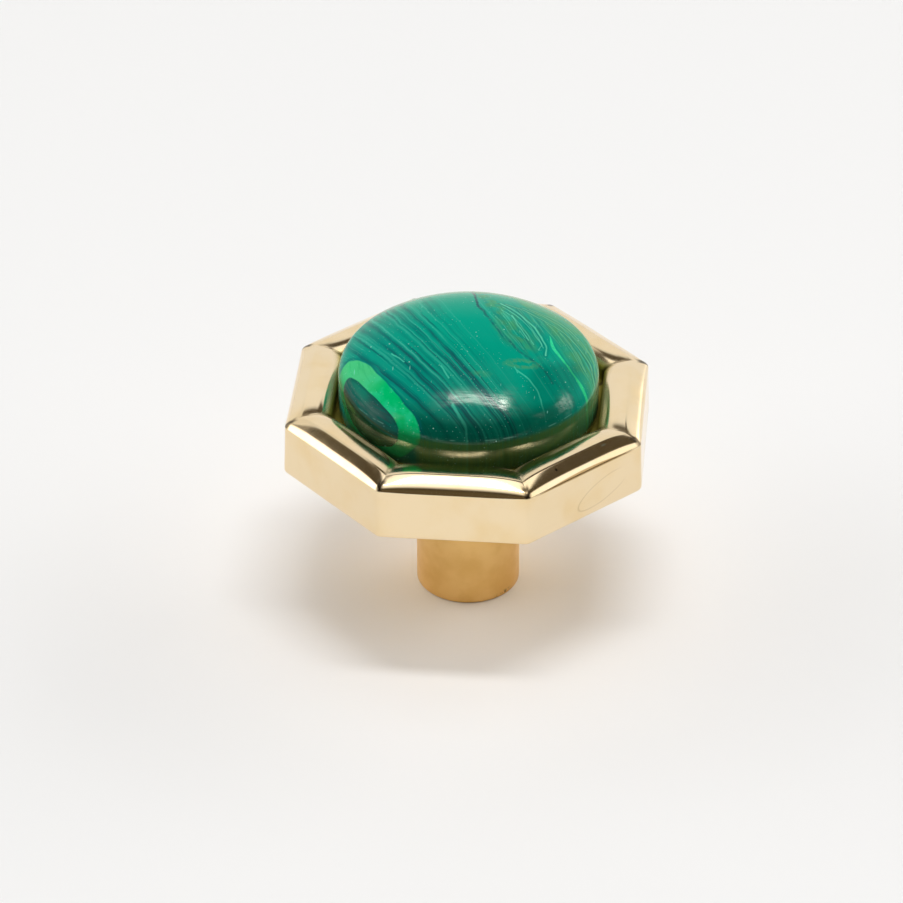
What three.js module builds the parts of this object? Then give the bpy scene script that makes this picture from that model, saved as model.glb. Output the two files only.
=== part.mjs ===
import * as THREE from 'three';

// Malachite cabinet knob: a domed round stone in an octagonal brass head on a round brass stem.
// Millimetres, +Z up. The origin is the centre of the stem's foot, and the stone looks along +Z.
// The head's front side face looks along -Y.

// Head
const ACROSS_FLATS = 34.0;
const SIDE_COUNT = 8;
const SIDE_DRAFT = 0.16;
const HEAD_BOTTOM = 15.7;
const SIDE_TOP = 20.8;
const SIDE_TOP_BOW = 0.15;
const LOWER_EDGE_ROUND = 0.35;
const UPRIGHT_EDGE_ROUND = 0.9;

// The half-round bar along each side of the head
const CREST_HEIGHT = 22.05;
const CREST_HEIGHT_AT_MITRE = 21.72;
const BAR_OUTER_HALF = 2.45;
const BAR_INNER_HALF = 1.69;
const PILLOW_POWER = 4;

// Pocket for the stone
const POCKET_FLOOR = 19.6;
const POCKET_LEDGE_ROUND = 0.2;

// Stone
const STONE_DIAMETER = 24.8;
const STONE_TOP = 29.2;
const DOME_RADIUS = 19.0;
const SHOULDER_RADIUS = 2.6;
const STONE_BASE_BEVEL = 0.5;

// Stem, with the tapped blind hole that takes the fixing screw
const STEM_DIAMETER = 10.0;
const STEM_EDGE_BREAK = 0.2;
const HOLE_DIAMETER = 3.3;
const HOLE_DEPTH = 11.0;
const HOLE_MOUTH_BEVEL = 0.45;

// How finely the curved faces are cut
const STONE_SEGMENTS = 64;
const STEM_SEGMENTS = 48;
const DOME_STEPS = 9;
const SHOULDER_STEPS = 5;
const LOWER_EDGE_STEPS = 3;
const OUTER_ARC_STEPS = 7;
const INNER_ARC_STEPS = 5;

// Places of the head's cuts along one side, from the middle of the side (0) to its mitre (1)
const CUTS_ALONG_SIDE = [0, 0.35, 0.62, 0.8, 0.9, 0.96];

const HALF_SIDE_ANGLE = Math.PI / SIDE_COUNT;
const QUARTER_TURN = Math.PI / 2;

const polishedBrass = new THREE.MeshStandardMaterial({ color: 0xe8cf9a, roughness: 0.1, metalness: 1.0 });
const satinBrass = new THREE.MeshStandardMaterial({ color: 0xc79f5e, roughness: 0.32, metalness: 1.0 });
const malachite = new THREE.MeshStandardMaterial({ color: 0x0b9a7e, roughness: 0.16, metalness: 0.0 });

// A turned solid about +Z from a profile of [radius, height] pairs that runs up the outside.
function turned(profile, segments) {
  const points = profile.map(([radius, height]) => new THREE.Vector2(radius, height));
  return new THREE.LatheGeometry(points, segments).rotateX(QUARTER_TURN);
}

// Points of a round corner: steps + 1 places from one angle to another about a centre.
function arc(centreRadius, centreHeight, radius, fromAngle, toAngle, steps) {
  return Array.from({ length: steps + 1 }, (_, i) => {
    const angle = fromAngle + ((toAngle - fromAngle) * i) / steps;
    return [centreRadius + radius * Math.cos(angle), centreHeight + radius * Math.sin(angle)];
  });
}

// The stone: a bevelled base, a low upright wall, a round shoulder and a dome.
function stoneGeometry() {
  const wallRadius = STONE_DIAMETER / 2;
  const domeCentre = STONE_TOP - DOME_RADIUS;
  const shoulderCentreRadius = wallRadius - SHOULDER_RADIUS;
  const shoulderReach = DOME_RADIUS - SHOULDER_RADIUS;
  const meetAngle = Math.acos(shoulderCentreRadius / shoulderReach);
  const shoulderCentreHeight = domeCentre + shoulderReach * Math.sin(meetAngle);
  const shoulder = arc(shoulderCentreRadius, shoulderCentreHeight, SHOULDER_RADIUS, 0, meetAngle, SHOULDER_STEPS);
  const dome = arc(0, domeCentre, DOME_RADIUS, meetAngle, QUARTER_TURN, DOME_STEPS);
  return turned(
    [
      [0, POCKET_FLOOR],
      [wallRadius - STONE_BASE_BEVEL, POCKET_FLOOR],
      [wallRadius, POCKET_FLOOR + STONE_BASE_BEVEL],
      ...shoulder,
      ...dome.slice(1, -1),
      [0, STONE_TOP],
    ],
    STONE_SEGMENTS,
  );
}

// Radius of an eight-sided outline with rounded corners, at an angle from the middle of a side.
function octagonRadius(apothem, cornerRound, angle) {
  const tangentAngle = Math.atan((1 - cornerRound / apothem) * Math.tan(HALF_SIDE_ANGLE));
  if (cornerRound === 0 || Math.abs(angle) <= tangentAngle) {
    return apothem / Math.cos(angle);
  }
  const fromCorner = HALF_SIDE_ANGLE - Math.abs(angle);
  const centre = (apothem - cornerRound) / Math.cos(HALF_SIDE_ANGLE);
  const across = centre * Math.sin(fromCorner);
  return centre * Math.cos(fromCorner) + Math.sqrt(cornerRound ** 2 - across ** 2);
}

// One level line of the head: its apothem, its height in the middle of a side and at the mitre,
// and how round its corners are.
function level(apothem, middleHeight, mitreHeight = middleHeight, cornerRound = 0) {
  return { apothem, middleHeight, mitreHeight, cornerRound };
}

// The bar's half-round top: from the outer edge over the crest and down to the pocket.
function barLevels() {
  const outerEdge = ACROSS_FLATS / 2 - SIDE_DRAFT;
  const crest = outerEdge - BAR_OUTER_HALF;
  const edgeMiddle = SIDE_TOP - SIDE_TOP_BOW;
  const outer = Array.from({ length: OUTER_ARC_STEPS + 1 }, (_, i) => {
    const angle = (QUARTER_TURN * i) / OUTER_ARC_STEPS;
    const rise = Math.sin(angle);
    return level(
      crest + BAR_OUTER_HALF * Math.cos(angle),
      edgeMiddle + (CREST_HEIGHT - edgeMiddle) * rise,
      SIDE_TOP + (CREST_HEIGHT_AT_MITRE - SIDE_TOP) * rise,
      UPRIGHT_EDGE_ROUND * Math.cos(angle),
    );
  });
  const inner = Array.from({ length: INNER_ARC_STEPS }, (_, i) => {
    const angle = (QUARTER_TURN * (i + 1)) / INNER_ARC_STEPS;
    const fall = 1 - Math.cos(angle);
    return level(
      crest - BAR_INNER_HALF * Math.sin(angle),
      CREST_HEIGHT - (CREST_HEIGHT - edgeMiddle) * fall,
      CREST_HEIGHT_AT_MITRE - (CREST_HEIGHT_AT_MITRE - edgeMiddle) * fall,
    );
  });
  return [...outer, ...inner];
}

// Every level line of the head, from the middle of its underside to the middle of the pocket.
function headLevels() {
  const flat = ACROSS_FLATS / 2;
  const roundEdge = arc(
    flat - LOWER_EDGE_ROUND,
    HEAD_BOTTOM + LOWER_EDGE_ROUND,
    LOWER_EDGE_ROUND,
    -QUARTER_TURN,
    0,
    LOWER_EDGE_STEPS,
  ).map(([apothem, height]) => level(apothem, height, height, UPRIGHT_EDGE_ROUND));
  const pocketWall = flat - SIDE_DRAFT - BAR_OUTER_HALF - BAR_INNER_HALF;
  return [
    level(0, HEAD_BOTTOM),
    level(STEM_DIAMETER / 2, HEAD_BOTTOM),
    ...roundEdge,
    ...barLevels(),
    level(pocketWall, POCKET_FLOOR + POCKET_LEDGE_ROUND),
    level(pocketWall - POCKET_LEDGE_ROUND, POCKET_FLOOR),
    level(0, POCKET_FLOOR),
  ];
}

// Angles round the head, from one corner of the octagon to the same corner again. Each is given
// with the side that it lies on, as an angle from the middle of that side.
function headColumns() {
  const along = [-1, ...CUTS_ALONG_SIDE.slice(1).reverse().map((cut) => -cut), ...CUTS_ALONG_SIDE];
  const columns = [];
  for (let side = 0; side < SIDE_COUNT; side += 1) {
    const middle = -QUARTER_TURN + side * 2 * HALF_SIDE_ANGLE;
    for (const cut of along) {
      const local = Math.atan(cut * Math.tan(HALF_SIDE_ANGLE));
      columns.push({ local, angle: middle + local, cut });
    }
  }
  columns.push({ ...columns[0] });
  return columns;
}

// The head is turned from its level lines, and each point is then moved to its place on the
// octagon, where the bars sink a little towards their mitres.
function headGeometry() {
  const levels = headLevels();
  const columns = headColumns();
  const geometry = turned(levels.map((line) => [line.apothem, line.middleHeight]), columns.length - 1);
  const position = geometry.getAttribute('position');
  columns.forEach(({ local, angle, cut }, column) => {
    levels.forEach((line, row) => {
      const radius = line.apothem === 0 ? 0 : octagonRadius(line.apothem, line.cornerRound, local);
      const sink = (line.middleHeight - line.mitreHeight) * Math.abs(cut) ** PILLOW_POWER;
      position.setXYZ(
        column * levels.length + row,
        radius * Math.cos(angle),
        radius * Math.sin(angle),
        line.middleHeight - sink,
      );
    });
  });
  geometry.computeVertexNormals();
  return geometry;
}

// The stem: a round post with broken edges and a blind hole up its middle.
function stemGeometry() {
  const radius = STEM_DIAMETER / 2;
  const hole = HOLE_DIAMETER / 2;
  return turned(
    [
      [0, HOLE_DEPTH + hole],
      [hole, HOLE_DEPTH],
      [hole, HOLE_MOUTH_BEVEL],
      [hole + HOLE_MOUTH_BEVEL, 0],
      [radius - STEM_EDGE_BREAK, 0],
      [radius, STEM_EDGE_BREAK],
      [radius, HEAD_BOTTOM],
      [0, HEAD_BOTTOM],
    ],
    STEM_SEGMENTS,
  );
}

function piece(name, geometry, material) {
  const mesh = new THREE.Mesh(geometry, material);
  mesh.name = name;
  return mesh;
}

const knob = new THREE.Group();
knob.name = 'malachite_cabinet_knob';
knob.add(
  piece('malachite_cabochon', stoneGeometry(), malachite),
  piece('head', headGeometry(), polishedBrass),
  piece('stem', stemGeometry(), satinBrass),
);

export default knob;
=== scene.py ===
"""A malachite cabinet knob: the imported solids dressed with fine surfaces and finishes.

Every length is in metres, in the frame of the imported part: +Z up, the origin at the centre of the
stem's foot, and the head's front side facing -Y. The finishes work in millimetres in that frame.
"""

import logging
import math
from collections.abc import Callable
from dataclasses import dataclass, field
from enum import Enum
from typing import Any

import bpy
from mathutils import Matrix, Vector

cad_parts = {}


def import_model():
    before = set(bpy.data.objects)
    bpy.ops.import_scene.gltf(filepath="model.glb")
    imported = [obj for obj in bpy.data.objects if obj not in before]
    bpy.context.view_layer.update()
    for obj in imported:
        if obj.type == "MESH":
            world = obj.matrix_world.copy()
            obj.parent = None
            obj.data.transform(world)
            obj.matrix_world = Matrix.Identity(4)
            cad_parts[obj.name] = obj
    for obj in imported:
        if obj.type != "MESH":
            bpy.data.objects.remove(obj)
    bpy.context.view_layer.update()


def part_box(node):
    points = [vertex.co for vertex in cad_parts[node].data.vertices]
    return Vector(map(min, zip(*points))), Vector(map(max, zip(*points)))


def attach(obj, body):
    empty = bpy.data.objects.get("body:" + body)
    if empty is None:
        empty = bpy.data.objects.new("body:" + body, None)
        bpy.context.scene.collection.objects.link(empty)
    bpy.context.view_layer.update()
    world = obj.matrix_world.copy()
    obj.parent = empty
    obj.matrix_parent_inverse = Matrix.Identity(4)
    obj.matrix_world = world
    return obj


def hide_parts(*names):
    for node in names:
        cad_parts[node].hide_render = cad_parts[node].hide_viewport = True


LOG = logging.getLogger("knob")

MM = 0.001
FULL_TURN = 2 * math.pi
QUARTER_TURN = math.pi / 2
DIAGONAL = math.sqrt(0.5)
SIDES = 8
ROOT = "root"

Colour = tuple[float, float, float, float]
Point = tuple[float, float]
Socket = bpy.types.NodeSocket


def operator(operation: str, swapped: bool = False) -> Callable[..., "Value"]:
    """Return a Value's method that adds one Math node for two numbers.

    Args:
        operation: The node's operation.
        swapped: Whether the other number comes first, as in 1 - value.

    Returns:
        The method.
    """

    def method(self: "Value", other: "Value | float") -> "Value":
        """Return the result of the operation on this number and another."""
        first, second = (other, self) if swapped else (self, other)
        return self.nodes.math(operation, first, second)

    return method


class Value:
    """A number that a node tree works out, so that expressions on it add its Math nodes."""

    def __init__(self, nodes: "Nodes", socket: Socket) -> None:
        """Keep the tree, and the socket in it that gives the number."""
        self.nodes = nodes
        self.socket = socket

    __add__ = operator("ADD")
    __radd__ = operator("ADD", swapped=True)
    __sub__ = operator("SUBTRACT")
    __rsub__ = operator("SUBTRACT", swapped=True)
    __mul__ = operator("MULTIPLY")
    __truediv__ = operator("DIVIDE")
    __rtruediv__ = operator("DIVIDE", swapped=True)
    __pow__ = operator("POWER")
    __gt__ = operator("GREATER_THAN")
    __lt__ = operator("LESS_THAN")
    least = operator("MINIMUM")
    most = operator("MAXIMUM")

    def __neg__(self) -> "Value":
        """Return the number with its sign turned."""
        return self * -1.0

    def __abs__(self) -> "Value":
        """Return the number without its sign."""
        return self.apply("ABSOLUTE")

    def apply(self, operation: str, *others: "Value | float") -> "Value":
        """Return the result of any other Math operation on this number."""
        return self.nodes.math(operation, self, *others)

    def ease(self, start: float, end: float) -> "Value":
        """Return a smooth step.

        Args:
            start: The number at which the step is 0.
            end: The number at which the step is 1.

        Returns:
            0 before start, 1 after end, and a smooth way between them.
        """
        node = self.nodes.add(
            "ShaderNodeMapRange",
            {"interpolation_type": "SMOOTHSTEP"},
            {"Value": self, "From Min": start, "From Max": end, "To Min": 0.0, "To Max": 1.0},
        )
        return Value(self.nodes, node.outputs[0])

    def bell(self, centre: float, half_width: float) -> "Value":
        """Return a bell curve of height 1.

        Args:
            centre: The number at which the bell is highest.
            half_width: How far from the centre it has fallen to about a third.

        Returns:
            The height of the bell at this number.
        """
        away = (self - centre) / half_width
        return self.nodes.math("EXPONENT", -(away * away))


class Nodes:
    """A node tree with one way to add any node, for shaders and geometry alike."""

    def __init__(self, tree: bpy.types.NodeTree) -> None:
        """Wrap an empty tree."""
        self.tree = tree

    def add(
        self,
        kind: str,
        settings: dict[str, Any] | None = None,
        inputs: dict[str | int, Any] | None = None,
    ) -> bpy.types.Node:
        """Add a node.

        Args:
            kind: The node's type.
            settings: Its settings, set before its inputs. The stops of a ramp are a list of pairs
                of a place and a colour.
            inputs: A number, a colour, a Value or a socket for each input, by name or by number.

        Returns:
            The new node.
        """
        node = self.tree.nodes.new(kind)
        for name, value in (settings or {}).items():
            if name == "stops":
                self._set_stops(node.color_ramp, value)
            else:
                setattr(node, name, value)
        for name, value in (inputs or {}).items():
            if isinstance(value, (Value, Socket)):
                self.feed(node, name, value)
            else:
                node.inputs[name].default_value = value
        return node

    @staticmethod
    def _set_stops(ramp: bpy.types.ColorRamp, stops: list[tuple[float, Colour]]) -> None:
        """Give a colour ramp its stops, in rising order."""
        for element, (place, colour) in zip(ramp.elements, (stops[0], stops[-1])):
            element.position = place
            element.color = colour
        for place, colour in stops[1:-1]:
            ramp.elements.new(place).color = colour

    def feed(self, node: bpy.types.Node, name: str | int, value: Value | Socket) -> None:
        """Link a value that is worked out to one of a node's inputs."""
        socket = value.socket if isinstance(value, Value) else value
        self.tree.links.new(socket, node.inputs[name])

    def math(self, operation: str, *values: Value | float) -> Value:
        """Return the result of one Math node on one, two or three numbers."""
        node = self.add("ShaderNodeMath", {"operation": operation}, dict(enumerate(values)))
        return Value(self, node.outputs[0])

    def length(self, *parts: Value) -> Value:
        """Return the length of a vector that has these parts."""
        total = parts[0] * parts[0]
        for part in parts[1:]:
            total = total + part * part
        return total.apply("SQRT")

    def vector(self, *parts: Value | float) -> Socket:
        """Return a vector made of three numbers."""
        return self.add("ShaderNodeCombineXYZ", None, dict(enumerate(parts))).outputs[0]

    def split(self, vector: Socket) -> tuple[Value, Value, Value]:
        """Return the three numbers of a vector."""
        node = self.add("ShaderNodeSeparateXYZ", None, {0: vector})
        return tuple(Value(self, output) for output in node.outputs)

    def mix(self, share: Value | float, first: Any, second: Any) -> Socket:
        """Mix two colours.

        Args:
            share: How much of the second colour there is, from 0 to 1.
            first: A colour or a socket.
            second: A colour or a socket.

        Returns:
            The mixed colour.
        """
        node = self.add(
            "ShaderNodeMix",
            {"data_type": "RGBA", "clamp_factor": True},
            {0: share, 6: first, 7: second},
        )
        return node.outputs[2]

    def noise(
        self,
        place: Value | Socket,
        scale: Value | float,
        detail: float = 2.0,
        roughness: float = 0.5,
        stretch: tuple[float, float, float] | None = None,
    ) -> Value:
        """Return smooth noise between 0 and 1, about 0.5 on average.

        Args:
            place: The point or, for noise along one line, the number that it depends on.
            scale: How many times it varies in one unit.
            detail: How many finer layers are added.
            roughness: How strong the finer layers are.
            stretch: What each direction is multiplied by first.

        Returns:
            The noise.
        """
        if stretch:
            times = self.add("ShaderNodeVectorMath", {"operation": "MULTIPLY"}, {0: place, 1: stretch})
            place = times.outputs[0]
        dimensions, name = ("1D", "W") if isinstance(place, Value) else ("3D", "Vector")
        settings = {"noise_dimensions": dimensions}
        inputs = {name: place, "Scale": scale, "Detail": detail, "Roughness": roughness}
        return Value(self, self.add("ShaderNodeTexNoise", settings, inputs).outputs[0])

    def curve(self, share: Value, stops: list[Point], interpolation: str = "LINEAR") -> Value:
        """Return the height of a curve through its corners at shares 0 to 1."""
        grey = [(place, (height, height, height, 1.0)) for place, height in stops]
        node = self.add("ShaderNodeValToRGB", {"stops": grey}, {"Fac": share})
        node.color_ramp.interpolation = interpolation
        return Value(self, node.outputs["Color"])

    def stroke(self, along: Value, aside: Value, points: tuple[Point, ...]) -> Value:
        """Return the distance to a drawn line that runs down to the right.

        Args:
            along: The place along the falling diagonal.
            aside: The place along the rising diagonal.
            points: The line's corners, seen from above.

        Returns:
            How far the place is from the line.
        """
        corners = [((x - y) * DIAGONAL, (x + y) * DIAGONAL) for x, y in points]
        low, high = corners[0][0], corners[-1][0]
        least = min(corner[1] for corner in corners)
        span = max(corner[1] for corner in corners) - least
        stops = [((a - low) / (high - low), (b - least) / span) for a, b in corners]
        line_here = self.curve((along - low) / (high - low), stops, "CARDINAL") * span + least
        past = (low - along).most(along - high).most(0.0)
        return abs(aside - line_here) + past * 2.0

    def bump(self, height: Value) -> Socket:
        """Return the normal of a surface that is raised by a height in metres."""
        return self.add("ShaderNodeBump", None, {"Distance": 1.0, "Height": height}).outputs[0]

    def principled(self, values: dict[str, Any]) -> bpy.types.Node:
        """Add a Principled shader with its constant values, and the material's output."""
        shader = self.add("ShaderNodeBsdfPrincipled", None, values)
        self.add("ShaderNodeOutputMaterial", None, {"Surface": shader.outputs[0]})
        return shader


class Paint:
    """A colour that other colours are laid over, each as thickly as its share says."""

    def __init__(self, nodes: Nodes, first: Any) -> None:
        """Start with the colour that lies under all others."""
        self.nodes = nodes
        self.colour = first

    def lay(self, share: Value, colour: Any) -> None:
        """Lay a colour or a socket over what is there, at a share from 0 to 1."""
        self.colour = self.nodes.mix(share, self.colour, colour)


def new_material(name: str) -> bpy.types.Material:
    """Return a material whose tree is empty."""
    material = bpy.data.materials.new(name)
    material.use_nodes = True
    material.node_tree.nodes.clear()
    return material


def linked(name: str, data: Any) -> bpy.types.Object:
    """Return a new object in the scene."""
    thing = bpy.data.objects.new(name, data)
    bpy.context.scene.collection.objects.link(thing)
    return thing


# Sections and the Geometry Nodes that turn them


@dataclass(frozen=True)
class Level:
    """One point of a section, and how its ring differs from a plain one.

    Attributes:
        reach: Distance from the axis. On the eight-sided head it is the distance to a flat.
        height: Height, in the middle of a side.
        mitre_height: Height at a mitre, where it differs.
        corner_round: Radius of the ring's corners.
        thread: How much of the screw thread's depth is cut here, from 0 to 1.
    """

    reach: float
    height: float
    mitre_height: float | None = None
    corner_round: float = 0.0
    thread: float = 0.0


def arc(centre: Point, radius: float, start: float, end: float, steps: int) -> list[Point]:
    """Return the points of an arc after its first one.

    Args:
        centre: Reach and height of its centre.
        radius: Its radius.
        start: Angle of its first point.
        end: Angle of its last point.
        steps: How many steps it has.

    Returns:
        The reach and height of each point.
    """
    angles = [start + (end - start) * (i + 1) / steps for i in range(steps)]
    return [(centre[0] + radius * math.cos(a), centre[1] + radius * math.sin(a)) for a in angles]


def line(start: Point, end: Point, steps: int) -> list[Point]:
    """Return the points of a straight line after its first one."""
    shares = [(i + 1) / steps for i in range(steps)]
    return [tuple(a + (b - a) * share for a, b in zip(start, end)) for share in shares]


class RingShape(Enum):
    """The outline that a section is turned along."""

    ROUND = "round"
    MITRED = "mitred"


class Dials:
    """The named inputs of a tree that turns a section, and what a modifier sets them to."""

    def __init__(self, nodes: Nodes) -> None:
        """Give the tree a section to take in and a skin to give back."""
        self.nodes = nodes
        self.settings: dict[str, float] = {}
        interface = nodes.tree.interface
        interface.new_socket(name="Section", in_out="INPUT", socket_type="NodeSocketGeometry")
        interface.new_socket(name="Skin", in_out="OUTPUT", socket_type="NodeSocketGeometry")
        self.entry = nodes.add("NodeGroupInput")
        self.section = self.entry.outputs[0]

    def add(self, name: str, value: float) -> Value:
        """Add an input with its value, and return it."""
        kind = "NodeSocketInt" if isinstance(value, int) else "NodeSocketFloat"
        socket = self.nodes.tree.interface.new_socket(name=name, in_out="INPUT", socket_type=kind)
        self.settings[socket.identifier] = value
        return Value(self.nodes, self.entry.outputs[socket.identifier])


@dataclass
class Turning:
    """Geometry Nodes that turn a section round +Z into one closed skin.

    The modified object starts as the section alone, a chain of points from the axis below to the
    axis above. Each row of the skin is a point of the section and each column an angle.

    Attributes:
        name: The piece's name.
        levels: The section's points.
        shape: The outline that the section is turned along.
        columns: How many columns go all the way round, a whole number for each side.
        material: The piece's material.
        sides: How many sides a mitred outline has.
        first_middle: Angle of the middle of the first side.
        crowding: How closely the columns crowd towards the mitres; 1 is evenly.
        pillow: Power by which a side's height changes towards its mitres.
        uneven: How far the surface wanders from its rule.
        uneven_size: How long the waves of that wandering are.
        thread_depth: Depth of the screw thread.
        thread_pitch: Pitch of the screw thread.
        merge_distance: How near two points have to be to become one.
    """

    name: str
    levels: list[Level]
    shape: RingShape
    columns: int
    material: bpy.types.Material
    sides: int = SIDES
    first_middle: float = -QUARTER_TURN
    crowding: float = 1.7
    pillow: float = 4.0
    uneven: float = 0.0
    uneven_size: float = 4.5 * MM
    thread_depth: float = 0.0
    thread_pitch: float = 1 * MM
    merge_distance: float = 0.001 * MM

    def build(self) -> bpy.types.Object:
        """Turn the section.

        Returns:
            The piece, as a plain mesh with its material.
        """
        raw = self._section_object()
        nodes = Nodes(bpy.data.node_groups.new(self.name + "_turning", "GeometryNodeTree"))
        dials = self._fill(nodes)
        modifier = raw.modifiers.new("turning", "NODES")
        modifier.node_group = nodes.tree
        for identifier, value in dials.settings.items():
            modifier[identifier] = value
        graph = bpy.context.evaluated_depsgraph_get()
        mesh = bpy.data.meshes.new_from_object(raw.evaluated_get(graph))
        mesh.name = self.name
        bpy.data.objects.remove(raw)
        LOG.info("%s: %d vertices, %d faces", self.name, len(mesh.vertices), len(mesh.polygons))
        return linked(self.name, mesh)

    def _section_object(self) -> bpy.types.Object:
        """Make the section as a chain of points that carry what their rings need."""
        mesh = bpy.data.meshes.new(self.name + "_section")
        points = [(level.reach, 0.0, level.height) for level in self.levels]
        mesh.from_pydata(points, [(i, i + 1) for i in range(len(points) - 1)], [])
        columns = {
            "mitre_height": [
                level.height if level.mitre_height is None else level.mitre_height
                for level in self.levels
            ],
            "corner_round": [level.corner_round for level in self.levels],
            "thread": [level.thread for level in self.levels],
        }
        for name, values in columns.items():
            attribute = mesh.attributes.new(name, "FLOAT", "POINT")
            attribute.data.foreach_set("value", values)
        return linked(self.name + "_section", mesh)

    def _fill(self, nodes: Nodes) -> Dials:
        """Fill the tree that turns the section, and return its inputs."""
        dials = Dials(nodes)
        columns = dials.add("Columns", self.columns)
        uneven = dials.add("Unevenness", self.uneven)
        uneven_size = dials.add("Length of its waves", self.uneven_size)

        size = nodes.add("GeometryNodeAttributeDomainSize", None, {"Geometry": dials.section})
        rows = Value(nodes, size.outputs["Point Count"])
        around = columns + 1.0
        grid = nodes.add("GeometryNodeMeshGrid", None, {"Vertices X": rows, "Vertices Y": around})
        index = Value(nodes, nodes.add("GeometryNodeInputIndex").outputs[0])
        row = ((index + 0.5) / around).apply("FLOOR")
        column = index - row * around

        def here(attribute: Socket) -> Value:
            """Return what a field holds at this row's point of the section."""
            inputs = {"Geometry": dials.section, "Value": attribute, "Index": row}
            return Value(nodes, nodes.add("GeometryNodeSampleIndex", None, inputs).outputs[0])

        def named(name: str) -> Value:
            """Return an attribute of this row's point of the section."""
            node = nodes.add("GeometryNodeInputNamedAttribute", {"data_type": "FLOAT"}, {"Name": name})
            return here(node.outputs[0])

        reach_x, _, height_z = nodes.split(nodes.add("GeometryNodeInputPosition").outputs[0])
        reach, height = here(reach_x.socket), here(height_z.socket)
        if self.shape is RingShape.ROUND:
            angle = column / columns * FULL_TURN
            radius = self._threaded(dials, reach, height, angle, named("thread"))
        else:
            edges = named("mitre_height"), named("corner_round")
            angle, radius, height = self._mitred(dials, column / columns, reach, height, *edges)
        place = nodes.vector(radius * angle.apply("COSINE"), radius * angle.apply("SINE"), height)
        skin = self._chain(
            nodes,
            grid.outputs[0],
            ("GeometryNodeSetPosition", {"Position": place}),
            ("GeometryNodeFlipFaces", {}),
            ("GeometryNodeMergeByDistance", {"Distance": self.merge_distance}),
        )
        normal = nodes.add("GeometryNodeInputNormal").outputs[0]
        where = nodes.add("GeometryNodeInputPosition").outputs[0]
        wander = (nodes.noise(where, 1.0 / uneven_size, 1.0) - 1.0) * uneven
        offset = nodes.add("ShaderNodeVectorMath", {"operation": "SCALE"}, {0: normal, "Scale": wander})
        skin = self._chain(
            nodes,
            skin,
            ("GeometryNodeSetPosition", {"Offset": offset.outputs[0]}),
            ("GeometryNodeSetShadeSmooth", {}),
            ("GeometryNodeRealizeInstances", {}),
            ("GeometryNodeSetMaterial", {"Material": self.material}),
        )
        nodes.add("NodeGroupOutput", None, {0: skin})
        return dials

    @staticmethod
    def _chain(nodes: Nodes, geometry: Socket, *steps: tuple[str, dict[str, Any]]) -> Socket:
        """Put nodes one after another, each of which changes the geometry of the one before.

        Args:
            nodes: The tree.
            geometry: The geometry that goes in.
            *steps: Each node's type and its other inputs.

        Returns:
            The geometry that comes out.
        """
        for kind, inputs in steps:
            geometry = nodes.add(kind, None, {0: geometry, **inputs}).outputs[0]
        return geometry

    def _threaded(
        self, dials: Dials, reach: Value, height: Value, angle: Value, thread: Value
    ) -> Value:
        """Return the radius of a round ring, with its screw thread cut outwards."""
        depth = dials.add("Thread depth", self.thread_depth)
        pitch = dials.add("Thread pitch", self.thread_pitch)
        turn = (height / pitch + angle / FULL_TURN).apply("FRACT")
        groove = (1.15 - abs(turn - 0.5) * 2.6).most(0.0).least(1.0)
        return reach + thread * depth * groove

    def _mitred(
        self,
        dials: Dials,
        share: Value,
        reach: Value,
        height: Value,
        mitre_height: Value,
        corner_round: Value,
    ) -> tuple[Value, Value, Value]:
        """Return the angle, radius and height of a point on a ring of straight mitred sides."""
        sides = dials.add("Sides", self.sides)
        first = dials.add("Angle of the first side", self.first_middle)
        crowding = dials.add("Crowding at the mitres", self.crowding)
        pillow = dials.add("Pillow power", self.pillow)
        half = math.pi / sides
        along = share * sides
        side = along.apply("FLOOR")
        signed = (along - side) * 2.0 - 1.0
        cut = signed.apply("SIGN") * (1.0 - (1.0 - abs(signed)) ** crowding)
        local = (cut * half.apply("TANGENT")).apply("ARCTANGENT")
        flat_radius = reach / local.apply("COSINE")
        lean = half - abs(local)
        centre = (reach - corner_round) / half.apply("COSINE")
        across = centre * lean.apply("SINE")
        inside = (corner_round * corner_round - across * across).most(0.0)
        round_radius = centre * lean.apply("COSINE") + inside.apply("SQRT")
        tangent = ((reach - corner_round) / reach.most(1e-6) * half.apply("TANGENT")).apply("ARCTANGENT")
        rounded = (abs(local) > tangent) * (corner_round > 0.0)
        radius = flat_radius + (round_radius - flat_radius) * rounded
        risen = height + (mitre_height - height) * abs(cut) ** pillow
        return first + side * half * 2.0 + local, radius, risen


# Brass


@dataclass(frozen=True)
class SideMarks:
    """What has happened to one side of the head: a stain, a pit, a nick and a looped hairline.

    Places are in millimetres: along the side from its middle, then out from the axis or up.

    Attributes:
        side: Which side it is, counted from the front one to the right.
        brown: The brown of the stain and the hairline.
        glint: The bright inside of the nick.
        stain: Half the stain's length, and its height at the middle.
        pit: Place of the pit.
        nick: Place of the nick.
        nick_size: Half its length and half its width.
        loop: Place of the middle of the looped hairline.
        loop_size: Half its length and half its width.
        loop_lean: Cosine and sine of the angle that it leans at.
    """

    side: float = 1.0
    brown: Colour = (0.42, 0.27, 0.11, 1.0)
    glint: Colour = (1.0, 1.0, 0.9, 1.0)
    stain: Point = (6.4, 0.42)
    pit: Point = (-2.7, 15.8)
    nick: Point = (3.3, 15.6)
    nick_size: Point = (0.32, 0.12)
    loop: Point = (2.3, 18.0)
    loop_size: Point = (3.3, 1.15)
    loop_lean: Point = (0.958, 0.287)


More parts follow.
